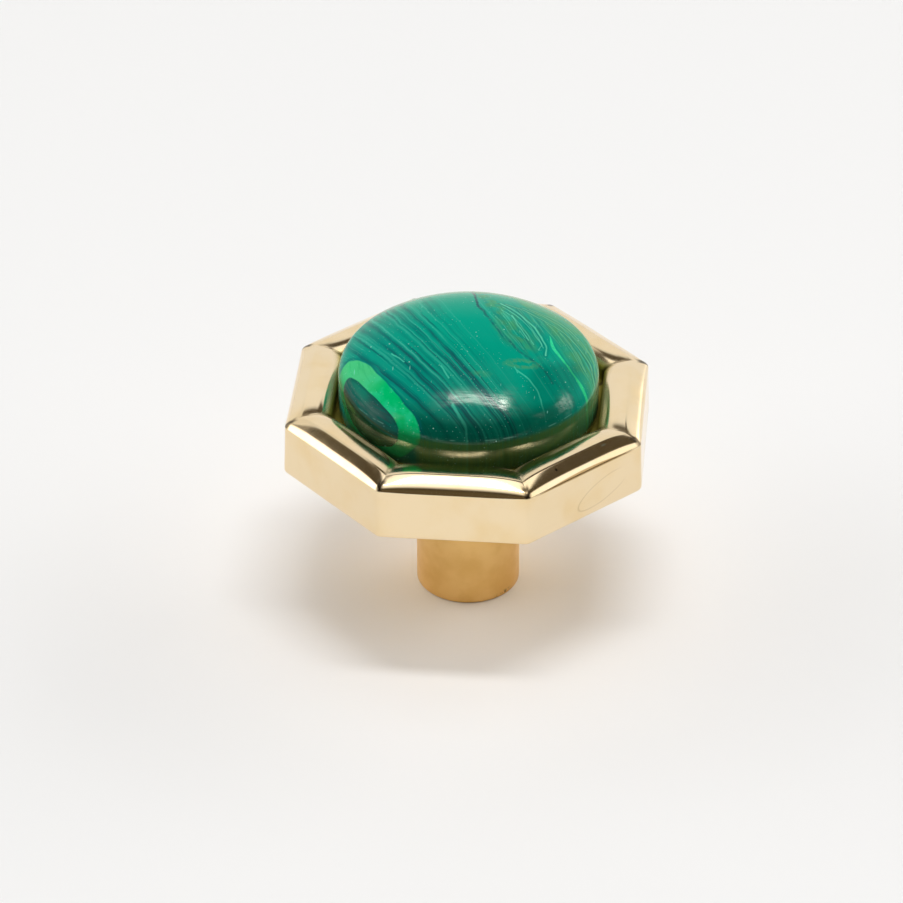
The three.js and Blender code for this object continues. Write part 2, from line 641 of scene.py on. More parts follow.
@dataclass(frozen=True)
class PolishedBrass:
    """Brass with a bright polish, fine marks of the wheel and some wear, for the head.

    Heights and distances are in millimetres.

    Attributes:
        colour: Its own colour.
        warm: Its colour in faint clouds.
        tarnish_and_reflection: The dull olive of the pocket: partly tarnish that a cloth doesn't reach,
            partly a painted reflection of the green stone in the brass.
        near_black: The near-black laid into the outer corners, the pocket's corners and the pit.
        roughness: How rough the polish is.
        marks: How deep the finest marks are, in metres.
        sides: How many sides the head has.
        flat: Distance from the axis to a side face.
        underside: Height of the underside.
        side_top: Height of the side faces' top edge.
        side_marks: The marks on one side.
    """

    colour: Colour = (0.93, 0.752, 0.49, 1.0)
    warm: Colour = (0.90, 0.69, 0.39, 1.0)
    tarnish_and_reflection: Colour = (0.33, 0.29, 0.025, 1.0)
    near_black: Colour = (0.035, 0.022, 0.010, 1.0)
    roughness: float = 0.13
    marks: float = 0.0004 * MM
    sides: int = SIDES
    flat: float = 17.0
    underside: float = 15.7
    side_top: float = 20.8
    side_marks: SideMarks = SideMarks()

    def build(self, name: str) -> bpy.types.Material:
        """Return the material."""
        material = new_material(name)
        nodes = Nodes(material.node_tree)
        shader = nodes.principled({"Specular IOR Level": 0.0})
        place = nodes.add("ShaderNodeTexCoord").outputs["Object"]
        x, y, z = (part / MM for part in nodes.split(place))
        turn = FULL_TURN / self.sides
        angle = y.apply("ARCTAN2", x) + QUARTER_TURN
        side = (angle / turn).apply("ROUND")
        local = angle - side * turn
        radius = nodes.length(x, y)
        along, out = radius * local.apply("SINE"), radius * local.apply("COSINE")
        inward = self.flat - out
        rise = z - self.side_top

        clouds = nodes.noise(place, 260.0, 3.0)
        over_bar = nodes.noise(nodes.vector(along, out + z, side * 7.0), 9.0, 3.0, 0.6, (1.0, 0.12, 1.0))
        along_face = nodes.noise(nodes.vector(along, z, side * 7.0), 9.0, 3.0, 0.6, (0.06, 1.0, 1.0))
        grain = nodes.noise(place, 9000.0, 2.0)
        patchy = nodes.noise(place, 900.0, 2.0)
        on_face = rise.ease(-0.05, -0.25) * inward.ease(0.5, 0.2)
        lines = over_bar + (along_face - over_bar) * on_face
        gap = out * math.tan(turn / 2) - abs(along)
        above = z.ease(self.underside + 0.5, self.underside + 0.9)
        mitre = gap.ease(0.55, 0.0) * above
        pocket = rise.ease(1.05, 0.4) * (inward - (patchy - 0.5) * 0.5).ease(3.1, 3.8) * above
        corner = (gap + (patchy - 0.5) * 0.7).ease(0.50, 0.10) * inward.ease(1.4, 0.9) * rise.ease(-0.1, 0.1)
        corner = corner.most(pocket * gap.ease(0.50, 0.10) * 0.9)

        paint = Paint(nodes, self.colour)
        paint.lay(clouds.ease(0.4, 0.8), self.warm)
        # Partly tarnish, partly a painted reflection of the green stone in the pocket's brass.
        paint.lay(pocket * 0.92, self.tarnish_and_reflection)
        # Near-black laid into the outer corners and the pocket's corners.
        paint.lay(corner * 0.9, self.near_black)
        self._mark(paint, abs(side - self.side_marks.side) < 0.5, along, out, z, patchy)
        rough = self.roughness + (lines - 0.5) * 0.10 + (clouds - 0.5) * 0.06 + mitre * 0.10 + pocket * 0.30
        height = (lines - 0.5) * (1.0 + mitre * 2.0) + (grain - 0.5) * 0.5
        burr = gap.ease(0.22, 0.02) * inward.ease(2.1, 2.7) * 90.0 * patchy * above
        nodes.feed(shader, "Base Color", paint.colour)
        nodes.feed(shader, "Roughness", rough)
        nodes.feed(shader, "Metallic", 1.0 - pocket * 0.45)
        nodes.feed(shader, "Normal", nodes.bump((height + burr) * self.marks))
        return material

    def _mark(
        self, paint: Paint, here: Value, along: Value, out: Value, z: Value, patchy: Value
    ) -> None:
        """Lay one side's marks.

        Args:
            paint: The colour under the marks.
            here: 1 on that side, and else 0.
            along: The place along the side, from its middle.
            out: The place out from the axis.
            z: The height.
            patchy: Noise that breaks the hairline up.
        """
        marks = self.side_marks
        nodes = paint.nodes
        rise = z - self.side_top
        on_bar = rise.ease(0.0, 0.2) * here
        share = along / marks.stain[0]
        stain = (0.28 - share * share * marks.stain[1] - rise).ease(-0.02, 0.10) * rise.ease(-0.17, -0.12)
        paint.lay(stain * here * 0.9, marks.brown)
        pit = nodes.length(along - marks.pit[0], out - marks.pit[1])
        paint.lay(pit.bell(0.22, 0.07) * on_bar * 0.8, self.colour)
        paint.lay(pit.ease(0.16, 0.08) * on_bar * 0.8, self.near_black)
        nick_along = (along - marks.nick[0]) / marks.nick_size[0]
        nick_out = (out - marks.nick[1]) / marks.nick_size[1]
        nick = (nick_along * nick_along + nick_out * nick_out).ease(1.2, 0.5)
        paint.lay(nick * on_bar, marks.glint)
        cosine, sine = marks.loop_lean
        from_middle, risen = along - marks.loop[0], z - marks.loop[1]
        far = from_middle * cosine + risen * sine
        high = risen * cosine - from_middle * sine
        loop = nodes.length(far / marks.loop_size[0], high / marks.loop_size[1]) + (patchy - 0.5) * 0.06
        paint.lay(loop.bell(1.0, 0.035) * here * far.ease(3.0, 1.2) * 0.34, marks.brown)


@dataclass(frozen=True)
class SatinBrass:
    """Brass left as turned, a satin surface with fine rings, for the stem.

    Attributes:
        colour: Its own colour.
        deep: Its colour in patches that are a little darker.
        chip: Its colour in the small chips at the foot.
        chips_at: Angle round the stem at which the chips are.
        roughness: How rough it is.
        rings: How deep the turning marks are.
    """

    colour: Colour = (0.90, 0.60, 0.235, 1.0)
    deep: Colour = (0.82, 0.52, 0.18, 1.0)
    chip: Colour = (0.05, 0.035, 0.02, 1.0)
    chips_at: float = -0.72
    roughness: float = 0.36
    rings: float = 0.0012 * MM

    def build(self, name: str) -> bpy.types.Material:
        """Return the material."""
        material = new_material(name)
        nodes = Nodes(material.node_tree)
        shader = nodes.principled({"Metallic": 1.0})
        place = nodes.add("ShaderNodeTexCoord").outputs["Object"]
        x, y, up = nodes.split(place)
        clouds = nodes.noise(place, 350.0, 3.0)
        grain = nodes.noise(place, 6000.0, 2.0)
        rings = nodes.noise(up, 9000.0, 2.0)
        chips = nodes.noise(place, 3200.0, 1.0).ease(0.50, 0.60) * (up / MM).ease(0.75, 0.25)
        paint = Paint(nodes, self.colour)
        paint.lay(clouds.ease(0.35, 0.7), self.deep)
        paint.lay(chips * y.apply("ARCTAN2", x).bell(self.chips_at, 0.16) * 0.85, self.chip)
        nodes.feed(shader, "Base Color", paint.colour)
        nodes.feed(shader, "Roughness", self.roughness + (clouds - 0.5) * 0.08 + (grain - 0.5) * 0.1)
        nodes.feed(shader, "Normal", nodes.bump((rings * 0.7 + grain * 0.3) * self.rings))
        return material


# Malachite


@dataclass(frozen=True)
class Greens:
    """The colours of the stone.

    Attributes:
        base: The plain green between the bands.
        grey: The duller green of the left part.
        olive: The yellowish green of the right part.
        dark: The dark bands.
        violet: The middles of the dark bands, and the seam.
        pale: The thin pale bands.
        thread: The fingerprint's loops.
        wrap: The lines that wrap round the fingerprint.
        vein: The upper part of the main vein.
        bright: Its lower part.
        thin_vein: The thin veins.
        ochre: The rusty inclusions.
        deep: Painted shade on the front and right of the shoulder, on the wall at the front, and near the
            foot of the eye's ring.
        girdle: The dull olive of the ground wall under the shoulder.
        lip: The broken pale line along the top of that wall.
        foot: Painted shade at the foot of the wall, down in the pocket.
        speck: The tiny specks.
        scuff: The short hairlines.
    """

    base: Colour = (0.001, 0.330, 0.222, 1.0)
    grey: Colour = (0.003, 0.285, 0.205, 1.0)
    olive: Colour = (0.060, 0.300, 0.115, 1.0)
    dark: Colour = (0.001, 0.120, 0.120, 1.0)
    violet: Colour = (0.012, 0.070, 0.095, 1.0)
    pale: Colour = (0.060, 0.500, 0.370, 1.0)
    thread: Colour = (0.125, 0.650, 0.420, 1.0)
    wrap: Colour = (0.140, 0.500, 0.250, 1.0)
    vein: Colour = (0.035, 0.680, 0.310, 1.0)
    bright: Colour = (0.030, 0.640, 0.250, 1.0)
    thin_vein: Colour = (0.060, 0.620, 0.420, 1.0)
    ochre: Colour = (0.110, 0.340, 0.100, 1.0)
    deep: Colour = (0.000, 0.040, 0.021, 1.0)
    girdle: Colour = (0.050, 0.112, 0.019, 1.0)
    lip: Colour = (0.200, 0.520, 0.400, 1.0)
    foot: Colour = (0.004, 0.020, 0.004, 1.0)
    speck: Colour = (0.420, 0.800, 0.700, 1.0)
    scuff: Colour = (0.220, 0.660, 0.540, 1.0)


@dataclass(frozen=True)
class Spot:
    """The place on the stone that its finish is worked out for.

    Attributes:
        nodes: The material's tree.
        greens: The stone's colours.
        place: The place in metres.
        x: The place to the right, in millimetres.
        y: The place to the back, in millimetres.
        z: The height, in millimetres.
    """

    nodes: Nodes
    greens: Greens
    place: Socket
    x: Value
    y: Value
    z: Value

    def flat(self, layer: float) -> Socket:
        """Return the place seen from above, on the layer that gives a noise its own pattern."""
        return self.nodes.vector(self.x, self.y, layer)

    def around(self) -> Value:
        """Return the angle round the stone."""
        return self.y.apply("ARCTAN2", self.x)

    def away(self, x: float, y: float, z: float) -> Value:
        """Return the distance to a point."""
        return self.nodes.length(self.x - x, self.y - y, self.z - z)

    def oval(self, middle: Point, half: Point) -> Value:
        """Return the distance from the middle of an oval seen from above, 1 at its edge."""
        return self.nodes.length((self.x - middle[0]) / half[0], (self.y - middle[1]) / half[1])

    def diagonals(self, layer: float, scale: float) -> tuple[Value, Value]:
        """Return the places along the falling and the rising diagonal, the second one wavering."""
        waver = (self.nodes.noise(self.flat(layer), scale, 2.0) - 0.5) * 0.20
        return (self.x - self.y) * DIAGONAL, (self.x + self.y) * DIAGONAL + waver


@dataclass(frozen=True)
class Band:
    """One band of the stone.

    Attributes:
        at: Its place across the bands, in millimetres from the stone's middle.
        half_width: Half its width.
        strength: How strongly it is coloured, from 0 to 1.
    """

    at: float
    half_width: float
    strength: float


@dataclass(frozen=True)
class Thread:
    """One thin line of the stone, drawn from corner to corner.

    Attributes:
        half_width: Half its width, in millimetres.
        strength: How strongly it is coloured, from 0 to 1.
        points: Its corners, in millimetres seen from above.
    """

    half_width: float
    strength: float
    points: tuple[Point, ...]


@dataclass(frozen=True)
class Bands:
    """The parallel bands, which run straight down through the stone.

    Attributes:
        dark: The dark bands.
        pale: The pale bands.
        rim: The pale bands that wrap round the fingerprint.
        reach: How far they are drawn from the stone's middle.
        lean: How far they shift to the left for each step to the back.
        bend: How strongly they bend back again.
        fan: How strongly they draw together to the back.
        arch: How strongly the ones that wrap round the fingerprint turn over it.
    """

    dark: tuple[Band, ...] = (
        Band(-11.25, 0.45, 0.75),
        Band(-9.05, 0.42, 0.85),
        Band(-8.15, 0.42, 0.95),
        Band(-6.75, 0.25, 0.45),
        Band(-5.50, 0.34, 0.80),
        Band(-4.40, 0.42, 0.95),
        Band(-2.35, 0.25, 0.40),
        Band(-1.80, 0.14, 0.35),
        Band(3.45, 0.30, 0.35),
        Band(7.40, 0.28, 0.35),
    )
    pale: tuple[Band, ...] = (
        Band(-9.90, 0.14, 0.50),
        Band(-9.55, 0.16, 0.30),
        Band(-7.68, 0.13, 0.75),
        Band(-6.30, 0.12, 0.55),
        Band(-5.90, 0.10, 0.40),
        Band(-5.05, 0.10, 0.45),
        Band(-3.80, 0.12, 0.45),
        Band(-2.82, 0.09, 0.55),
        Band(-0.90, 0.09, 0.30),
        Band(2.85, 0.12, 0.40),
    )
    rim: tuple[Band, ...] = (
        Band(7.35, 0.10, 0.20),
        Band(9.15, 0.10, 0.30),
        Band(9.75, 0.12, 0.60),
        Band(10.15, 0.11, 0.55),
        Band(10.75, 0.15, 0.85),
        Band(11.30, 0.12, 0.55),
        Band(11.75, 0.14, 0.60),
        Band(12.35, 0.16, 0.55),
        Band(13.10, 0.18, 0.50),
    )
    reach: float = 14.0
    lean: float = 0.583
    bend: float = 0.0219
    fan: float = 0.0049
    arch: float = 0.2

    def across(self, spot: Spot) -> Value:
        """Return the place across the bands, which bend and wobble on their way to the back."""
        nodes, x, y = spot.nodes, spot.x, spot.y
        flat = spot.flat(0.0)
        wobble = (nodes.noise(flat, 0.35, 1.0) - 0.5) * 0.40 + (nodes.noise(flat, 1.6, 1.0) - 0.5) * 0.10
        across = x + y * self.lean - y * y * self.bend + x * y * self.fan + wobble
        back = (y - 2.5).most(0.0)
        return across + back * back * self.arch * across.ease(6.0, 9.0)

    def _peaks(self, across: Value, bands: tuple[Band, ...]) -> Value:
        """Return a curve that peaks at each band."""
        whole = 2 * self.reach
        corners = []
        for band in sorted(bands, key=lambda one: one.at):
            middle, half = (band.at + self.reach) / whole, band.half_width / whole
            corners += [(middle - half, 0.0), (middle, band.strength), (middle + half, 0.0)]
        return across.nodes.curve((across + self.reach) / whole, corners)

    def lay(self, spot: Spot, across: Value) -> Paint:
        """Return the colour of the stone with its bands."""
        nodes, x, y, greens = spot.nodes, spot.x, spot.y, spot.greens
        length = y - x * 0.4
        fine = nodes.noise(nodes.vector(across * 2.4, length * 0.06, 3.0), 1.0, 3.0, 0.6)
        hair = nodes.noise(nodes.vector(across * 7.5, length * 0.14, 9.0), 1.0, 2.0, 0.6)
        fade = nodes.noise(nodes.vector(across * 0.9, length * 0.20, 5.0), 1.0, 2.0).ease(0.22, 0.55)
        mottle = nodes.noise(spot.flat(1.0), 0.8, 3.0)
        left = across.ease(-0.6, -3.2)
        dense = left + across.ease(3.0, 4.6) * 0.45 + 0.10

        paint = Paint(nodes, greens.base)
        paint.lay(across.ease(-3.0, -9.0) * 0.7, greens.grey)
        by_rim = across.ease(7.6, 9.4) * y.ease(-7.0, -1.0)
        paint.lay(by_rim * (0.35 + mottle.ease(0.35, 0.65) * 0.55), greens.olive)
        by_seam = across.ease(2.8, 3.6) * across.ease(6.0, 4.4) * y.ease(-4.5, -1.0)
        paint.lay(by_seam * mottle.ease(0.42, 0.62) * 0.65, greens.olive)

        dark = self._peaks(across, self.dark) * (0.55 + fade * 0.45)
        dark = dark.most(fine.ease(0.52, 0.64) * dense * 0.70).most(hair.ease(0.55, 0.70) * dense * 0.50)
        at_front = y.ease(1.0, -7.0) * left
        dark = (dark * (0.82 + at_front * 0.30)).least(1.0)
        paint.lay(dark, greens.dark)
        paint.lay(dark.ease(0.50, 0.95) * (0.15 + fade * 0.40), greens.violet)

        pale = self._peaks(across, self.pale) * (0.35 + fade * 0.65)
        pale = pale.most(self._peaks(across, self.rim) * (0.35 + mottle.ease(0.3, 0.6) * 0.65))
        pale = pale.most(hair.ease(0.40, 0.30) * dense * 0.26).most(fine.ease(0.36, 0.28) * dense * 0.22)
        paint.lay(pale, greens.pale)
        return paint


@dataclass(frozen=True)
class Fingerprint:
    """The fingerprint: nested loops, each open at its foot, and the lines that wrap round them.

    Attributes:
        middle: Middle of the patch that it lies on.
        half: Half that patch's width and depth.
        loops: The nested loops.
        wraps: The lines that wrap round them.
    """

    middle: Point = (4.6, 0.9)
    half: Point = (2.6, 4.0)
    loops: tuple[Thread, ...] = (
        Thread(
            0.10,
            1.0,
            ((2.6, 4.7), (3.8, 3.8), (5.1, 2.3), (6.2, 1.0), (7.0, -0.4), (7.5, -1.5), (7.5, -2.6)),
        ),
        Thread(
            0.08,
            0.75,
            ((2.9, 3.9), (4.3, 2.5), (5.4, 1.2), (6.3, -0.1), (7.0, -1.4), (7.0, -2.1), (6.8, -2.3)),
        ),
        Thread(0.07, 0.65, ((2.8, 3.1), (3.9, 2.2), (4.9, 0.7), (5.7, -0.6), (6.3, -1.7))),
        Thread(0.08, 0.75, ((3.9, 2.4), (4.5, 0.9), (5.1, -0.1), (5.8, -1.3))),
        Thread(0.06, 0.6, ((4.8, -0.1), (5.4, -1.1))),
        Thread(0.06, 0.55, ((3.3, 4.1), (4.7, 2.7), (5.8, 1.0), (6.7, -0.5), (7.2, -1.7))),
        Thread(0.06, 0.45, ((3.1, 1.9), (3.9, 0.4), (4.7, -1.0))),
        Thread(0.07, 0.40, ((2.4, 1.6), (3.4, -0.1), (4.4, -1.7), (5.4, -2.9))),
    )
    wraps: tuple[Thread, ...] = (
        Thread(
            0.08,
            0.85,
            ((3.1, 4.8), (4.7, 4.3), (6.3, 3.5), (7.6, 3.0), (8.7, 2.6))
            + ((9.8, 1.7), (11.0, 0.3), (11.7, -0.8), (12.1, -2.2)),
        ),
        Thread(0.12, 0.55, ((4.7, 4.8), (6.4, 4.4), (7.9, 3.9), (9.6, 3.0), (11.2, 1.3))),
        Thread(0.07, 0.5, ((7.0, 3.1), (8.1, 1.8), (9.2, 0.3))),
        Thread(0.08, 0.8, ((8.5, 2.1), (9.7, 0.7), (10.6, -0.7), (11.2, -1.9))),
        Thread(0.06, 0.5, ((9.2, 0.6), (10.2, -0.8), (11.0, -2.2), (11.5, -2.7))),
        Thread(0.06, 0.4, ((6.6, 2.2), (7.8, 0.9), (8.8, -0.3))),
        Thread(0.06, 0.6, ((8.9, 1.5), (9.9, 0.1), (10.8, -1.4), (11.5, -2.3))),
        Thread(0.10, 0.7, ((5.4, 5.0), (7.5, 4.7), (9.5, 3.6), (11.0, 1.9), (11.9, 0.2), (12.2, -1.2))),
    )

    def lay(self, spot: Spot, across: Value, paint: Paint) -> None:
        """Lay the patch and its lines over the bands."""
        nodes, y, greens = spot.nodes, spot.y, spot.greens
        along, aside = spot.diagonals(4.0, 0.9)
        patchy = nodes.noise(nodes.vector(across * 1.6, y * 0.5, 2.0), 1.0, 2.0)
        comb = nodes.noise(nodes.vector(across * 5.0, y * 0.25, 7.0), 1.0, 2.0)
        inside = (spot.oval(self.middle, self.half) + (patchy - 0.5) * 0.4).ease(1.1, 0.8)
        paint.lay(inside * patchy.ease(0.4, 0.6) * 0.35, greens.olive)
        paint.lay(inside * comb.ease(0.52, 0.66) * 0.50, greens.dark)
        paint.lay(inside * comb.ease(0.42, 0.34) * 0.30, greens.thread)
        broken = 0.65 + patchy.ease(0.30, 0.58) * 0.35
        for threads, pale in ((self.loops, greens.thread), (self.wraps, greens.wrap)):
            for one in threads:
                near = nodes.stroke(along, aside, one.points)
                beside = near.bell(one.half_width * 2.6, one.half_width * 1.1)
                paint.lay(beside * 0.40 * one.strength, greens.dark)
                drawn = near.ease(one.half_width * 1.3, one.half_width * 0.3)
                paint.lay(drawn * broken * one.strength * 0.85, pale)


@dataclass(frozen=True)
class Veins:
    """The dark seam, the bright veins and the rusty inclusions.

    Attributes:
        seam: Corners of the seam.
        main: Corners of the main vein.
        thin: Corners of the thin vein in front of it.
        front: Corners of the vein down the front of the shoulder.
        ticks: Both ends of each short pale line.
        rust_loop: Middle and half size of the looped inclusion.
        rust_turn: Cosine and sine of the angle that it is turned by.
        rust_patch: Middle and half size of the other inclusion.
    """

    seam: tuple[Point, ...] = (
        (-0.6, 9.0),
        (0.5, 4.1),
        (1.4, 1.9),
        (3.0, -1.0),
        (5.1, -3.3),
        (7.1, -4.3),
        (8.4, -5.6),
    )
    main: tuple[Point, ...] = (
        (7.6, 0.6),
        (8.0, -0.8),
        (8.8, -1.9),
        (9.8, -2.9),
        (10.8, -3.9),
        (11.4, -4.4),
        (11.8, -4.6),
    )
    thin: tuple[Point, ...] = (
        (4.9, -5.6),
        (5.9, -6.0),
        (6.7, -6.7),
        (7.2, -7.3),
        (7.5, -8.1),
        (7.9, -9.0),
        (8.3, -10.0),
    )
    front: tuple[Point, ...] = ((-0.7, -10.0), (0.0, -10.9), (0.8, -11.9), (1.0, -12.6))
    ticks: tuple[tuple[Point, Point], ...] = (
        ((-7.0, -3.6), (-5.6, -5.1)),
        ((-2.1, -6.1), (-1.2, -7.5)),
        ((4.7, -5.3), (5.1, -5.9)),
    )
    rust_loop: tuple[Point, Point] = ((5.4, -4.7), (1.5, 0.5))
    rust_turn: Point = (0.95, 0.30)
    rust_patch: tuple[Point, Point] = ((1.7, -6.8), (1.2, 0.45))

    def lay(self, spot: Spot, paint: Paint) -> None:
        """Lay them over the bands and the fingerprint."""
        nodes, x, y, greens = spot.nodes, spot.x, spot.y, spot.greens
        rough = nodes.noise(spot.flat(6.0), 2.5, 2.0).ease(0.3, 0.62)
        along, aside = spot.diagonals(6.0, 1.1)
        seam = nodes.stroke(along, aside, self.seam)
        paint.lay(seam.ease(0.26, 0.05) * (0.20 + rough * 0.4 + y.ease(0.5, 3.5) * 0.4), greens.violet)
        main = nodes.stroke(along, aside, self.main)
        wide = 0.04 + y.ease(0.6, -0.7) * 0.15 - y.ease(-1.2, -2.8) * 0.09 + y.ease(-3.3, -4.2) * 0.10
        vein = nodes.mix(y.ease(-1.0, -3.0), greens.vein, greens.bright)
        paint.lay((main - wide).ease(0.06, -0.04) * (0.70 + rough * 0.25), vein)

        thin = nodes.stroke(along, aside, self.thin)
        front = nodes.stroke(along, aside, self.front)
        pale = (thin.ease(0.13, 0.03) * y.ease(-10.0, -8.0) * 0.75).most(front.ease(0.20, 0.05) * 0.85)
        for tick in self.ticks:
            pale = pale.most(nodes.stroke(along, aside, tick).ease(0.11, 0.02) * 0.7)
        paint.lay(pale, greens.thin_vein)

        (middle_x, middle_y), (half_x, half_y) = self.rust_loop
        from_x, from_y = x - middle_x, y - middle_y
        cosine, sine = self.rust_turn
        turned_x, turned_y = from_x * cosine + from_y * sine, from_y * cosine - from_x * sine
        loop = nodes.length(turned_x / half_x, turned_y / half_y) + (rough - 0.5) * 0.4
        patch = spot.oval(*self.rust_patch) + (rough - 0.5) * 0.7
        rust = (abs(loop - 0.9).ease(0.60, 0.1) * 0.55).most(patch.ease(1.2, 0.4) * 0.45)
        paint.lay(rust * (0.10 + rough * 0.65), greens.ochre)


@dataclass(frozen=True)
class Eye:
    """The eye over the left of the stone's shoulder: a smoky core in a bright ring.

    It is drawn on the unrolled surface: along the wall, and up the wall and on over the dome, where
    a place is its height less its distance from the axis. Lengths are in millimetres.

    Attributes:
        wall: Radius of the stone's upright wall.
        at: How far the eye is from the right-hand side, along the wall.
        ring_up: How far up the ring's middle is.
        ring_half: Half the ring's length and its height over its middle.
        core_up: How far up the core's middle is.
        core_half: Half the core's length and its height over its middle.
        ring: The ring's green.
        ring_light: Its lighter clouds.
        ring_left: Its paler left part.
        ring_low: Its lower part.
        ring_under: Its lowest part on the left.
        ring_foot: Its lowest part.
        ring_streak: The streaks in it.
        core: The core's teal.
        core_dark: The dark streaks in it.
        core_left: Its greener upper left.
        smoke_and_reflection: The grey cloud across it, partly the stone's own and partly a painted
            reflection of the light on the left.
        low: The dark green under the cloud.
        low_light: Its lighter clouds.
        low_brown: The brown at its lower left.
        crack: The black line between the cloud and the part under it.
        crack_edge: The olive edge of that line.
        core_rim: The dark upper rim of the core.
    """

    wall: float = 12.4
    at: float = 29.7
    ring_up: float = 12.60
    ring_half: Point = (6.85, 3.90)
    core_up: float = 12.0
    core_half: Point = (4.7, 2.1)
    ring: Colour = (0.000, 0.500, 0.150, 1.0)
    ring_light: Colour = (0.012, 0.560, 0.240, 1.0)
    ring_left: Colour = (0.075, 0.560, 0.220, 1.0)
    ring_low: Colour = (0.000, 0.330, 0.090, 1.0)
    ring_under: Colour = (0.003, 0.210, 0.065, 1.0)
    ring_foot: Colour = (0.000, 0.190, 0.060, 1.0)
    ring_streak: Colour = (0.000, 0.340, 0.110, 1.0)
    core: Colour = (0.003, 0.120, 0.092, 1.0)
    core_dark: Colour = (0.004, 0.060, 0.058, 1.0)
    core_left: Colour = (0.002, 0.200, 0.130, 1.0)
    smoke_and_reflection: Colour = (0.070, 0.165, 0.135, 1.0)
    low: Colour = (0.002, 0.042, 0.020, 1.0)
    low_light: Colour = (0.012, 0.065, 0.022, 1.0)
    low_brown: Colour = (0.070, 0.140, 0.038, 1.0)
    crack: Colour = (0.002, 0.014, 0.009, 1.0)
    crack_edge: Colour = (0.050, 0.072, 0.034, 1.0)
    core_rim: Colour = (0.000, 0.060, 0.050, 1.0)

    def lay(self, spot: Spot, paint: Paint) -> None:
        """Lay the eye over what is there."""
        nodes = spot.nodes
        up = spot.z - nodes.length(spot.x, spot.y)
        along = spot.around() * self.wall + self.at
        place = nodes.vector(spot.x, spot.y, spot.z)
        warp = (nodes.noise(place, 0.5, 1.0) - 0.5) * 0.14
        ring_half = self.ring_half[1] + up.ease(12.6, 11.0) * 0.8
        ring_up = (up - self.ring_up + along * 0.14) / ring_half
        ring = nodes.length((along + 0.15) / self.ring_half[0], ring_up) + warp
        over = up - self.core_up + along * 0.15
        core_up = over / (self.core_half[1] + over.ease(0.2, -0.8) * 1.2)
        core = nodes.length((along + 0.1) / self.core_half[0], core_up) + warp * 0.9
        clouds = nodes.noise(place, 0.9, 3.0)
        streaks = nodes.noise(nodes.vector(along * 0.35, over * 2.2, 1.0), 1.0, 3.0, 0.6)
        ring_colour = self._ring(spot, along, up, clouds, streaks)
        core_colour = self._core(nodes, along, over, core, clouds, streaks)
        outline = ring.bell(1.03, 0.035) * up.ease(11.0, 13.0)
        paint.lay(outline * 0.55, spot.greens.dark)
        paint.lay(ring.ease(1.01, 0.975), ring_colour)
        paint.lay(core.ease(1.02, 0.97), core_colour)

    def _ring(self, spot: Spot, along: Value, up: Value, clouds: Value, streaks: Value) -> Socket:
        """Return the ring's colour, which is paler on the left and darkens downwards."""
        ring = Paint(spot.nodes, self.ring)
        ring.lay(clouds.ease(0.40, 0.62), self.ring_light)
        ring.lay(along.ease(1.0, -3.5) * 0.8, self.ring_left)
        ring.lay(up.ease(13.6, 10.6), self.ring_low)
        ring.lay(up.ease(12.6, 10.6) * along.ease(3.6, 0.5), self.ring_under)
        ring.lay(up.ease(12.1, 11.0) * 0.75, self.ring_foot)
        # Painted shade near the foot of the wall, down in the pocket.
        ring.lay(up.ease(8.9, 8.2) * 0.6, spot.greens.deep)
        ring.lay(streaks.ease(0.50, 0.70) * 0.30, self.ring_streak)
        return ring.colour

    def _core(
        self, nodes: Nodes, along: Value, over: Value, core: Value, clouds: Value, streaks: Value
    ) -> Socket:
        """Return the core's colour.

        Args:
            nodes: The material's tree.
            along: The place along the wall, from the eye's middle.
            over: The place up from the core's middle.
            core: The distance from the core's middle, 1 at its edge.
            clouds: Noise in soft clouds.
            streaks: Noise in streaks along the wall.

        Returns:
            The colour, with a grey cloud over a dark lower part and a crack between them.
        """
        body = Paint(nodes, self.core)
        body.lay(streaks.ease(0.35, 0.60), self.core_dark)
        smoke_and_reflection = over.ease(-0.9, -0.2) * over.ease(2.0, 0.6) * along.ease(3.9, 0.5)
        # Grey cloud over the core: partly the stone's own, partly a painted reflection of the light on the
        # left.
        body.lay(smoke_and_reflection * streaks.ease(0.35, 0.62) * 0.8, self.smoke_and_reflection)
        body.lay(along.ease(0.6, -1.2) * over.ease(0.1, 1.0) * 0.8, self.core_left)
        low = Paint(nodes, self.low)
        low.lay(clouds.ease(0.45, 0.60), self.low_light)
        brown = along.ease(-1.0, -2.2) * along.ease(-4.6, -3.8) * over.ease(-2.2, -1.6)
        low.lay(brown * 0.8, self.low_brown)
        body.lay(over.ease(-0.85, -1.15), low.colour)
        body.lay(over.bell(-1.12, 0.20) * along.ease(1.5, -1.0) * 0.85, self.crack)
        body.lay(over.bell(-0.74, 0.13) * 0.75, self.crack_edge)
        body.lay(core.ease(0.80, 0.97) * over.ease(0.0, 1.0) * 0.55, self.core_rim)
        return body.colour


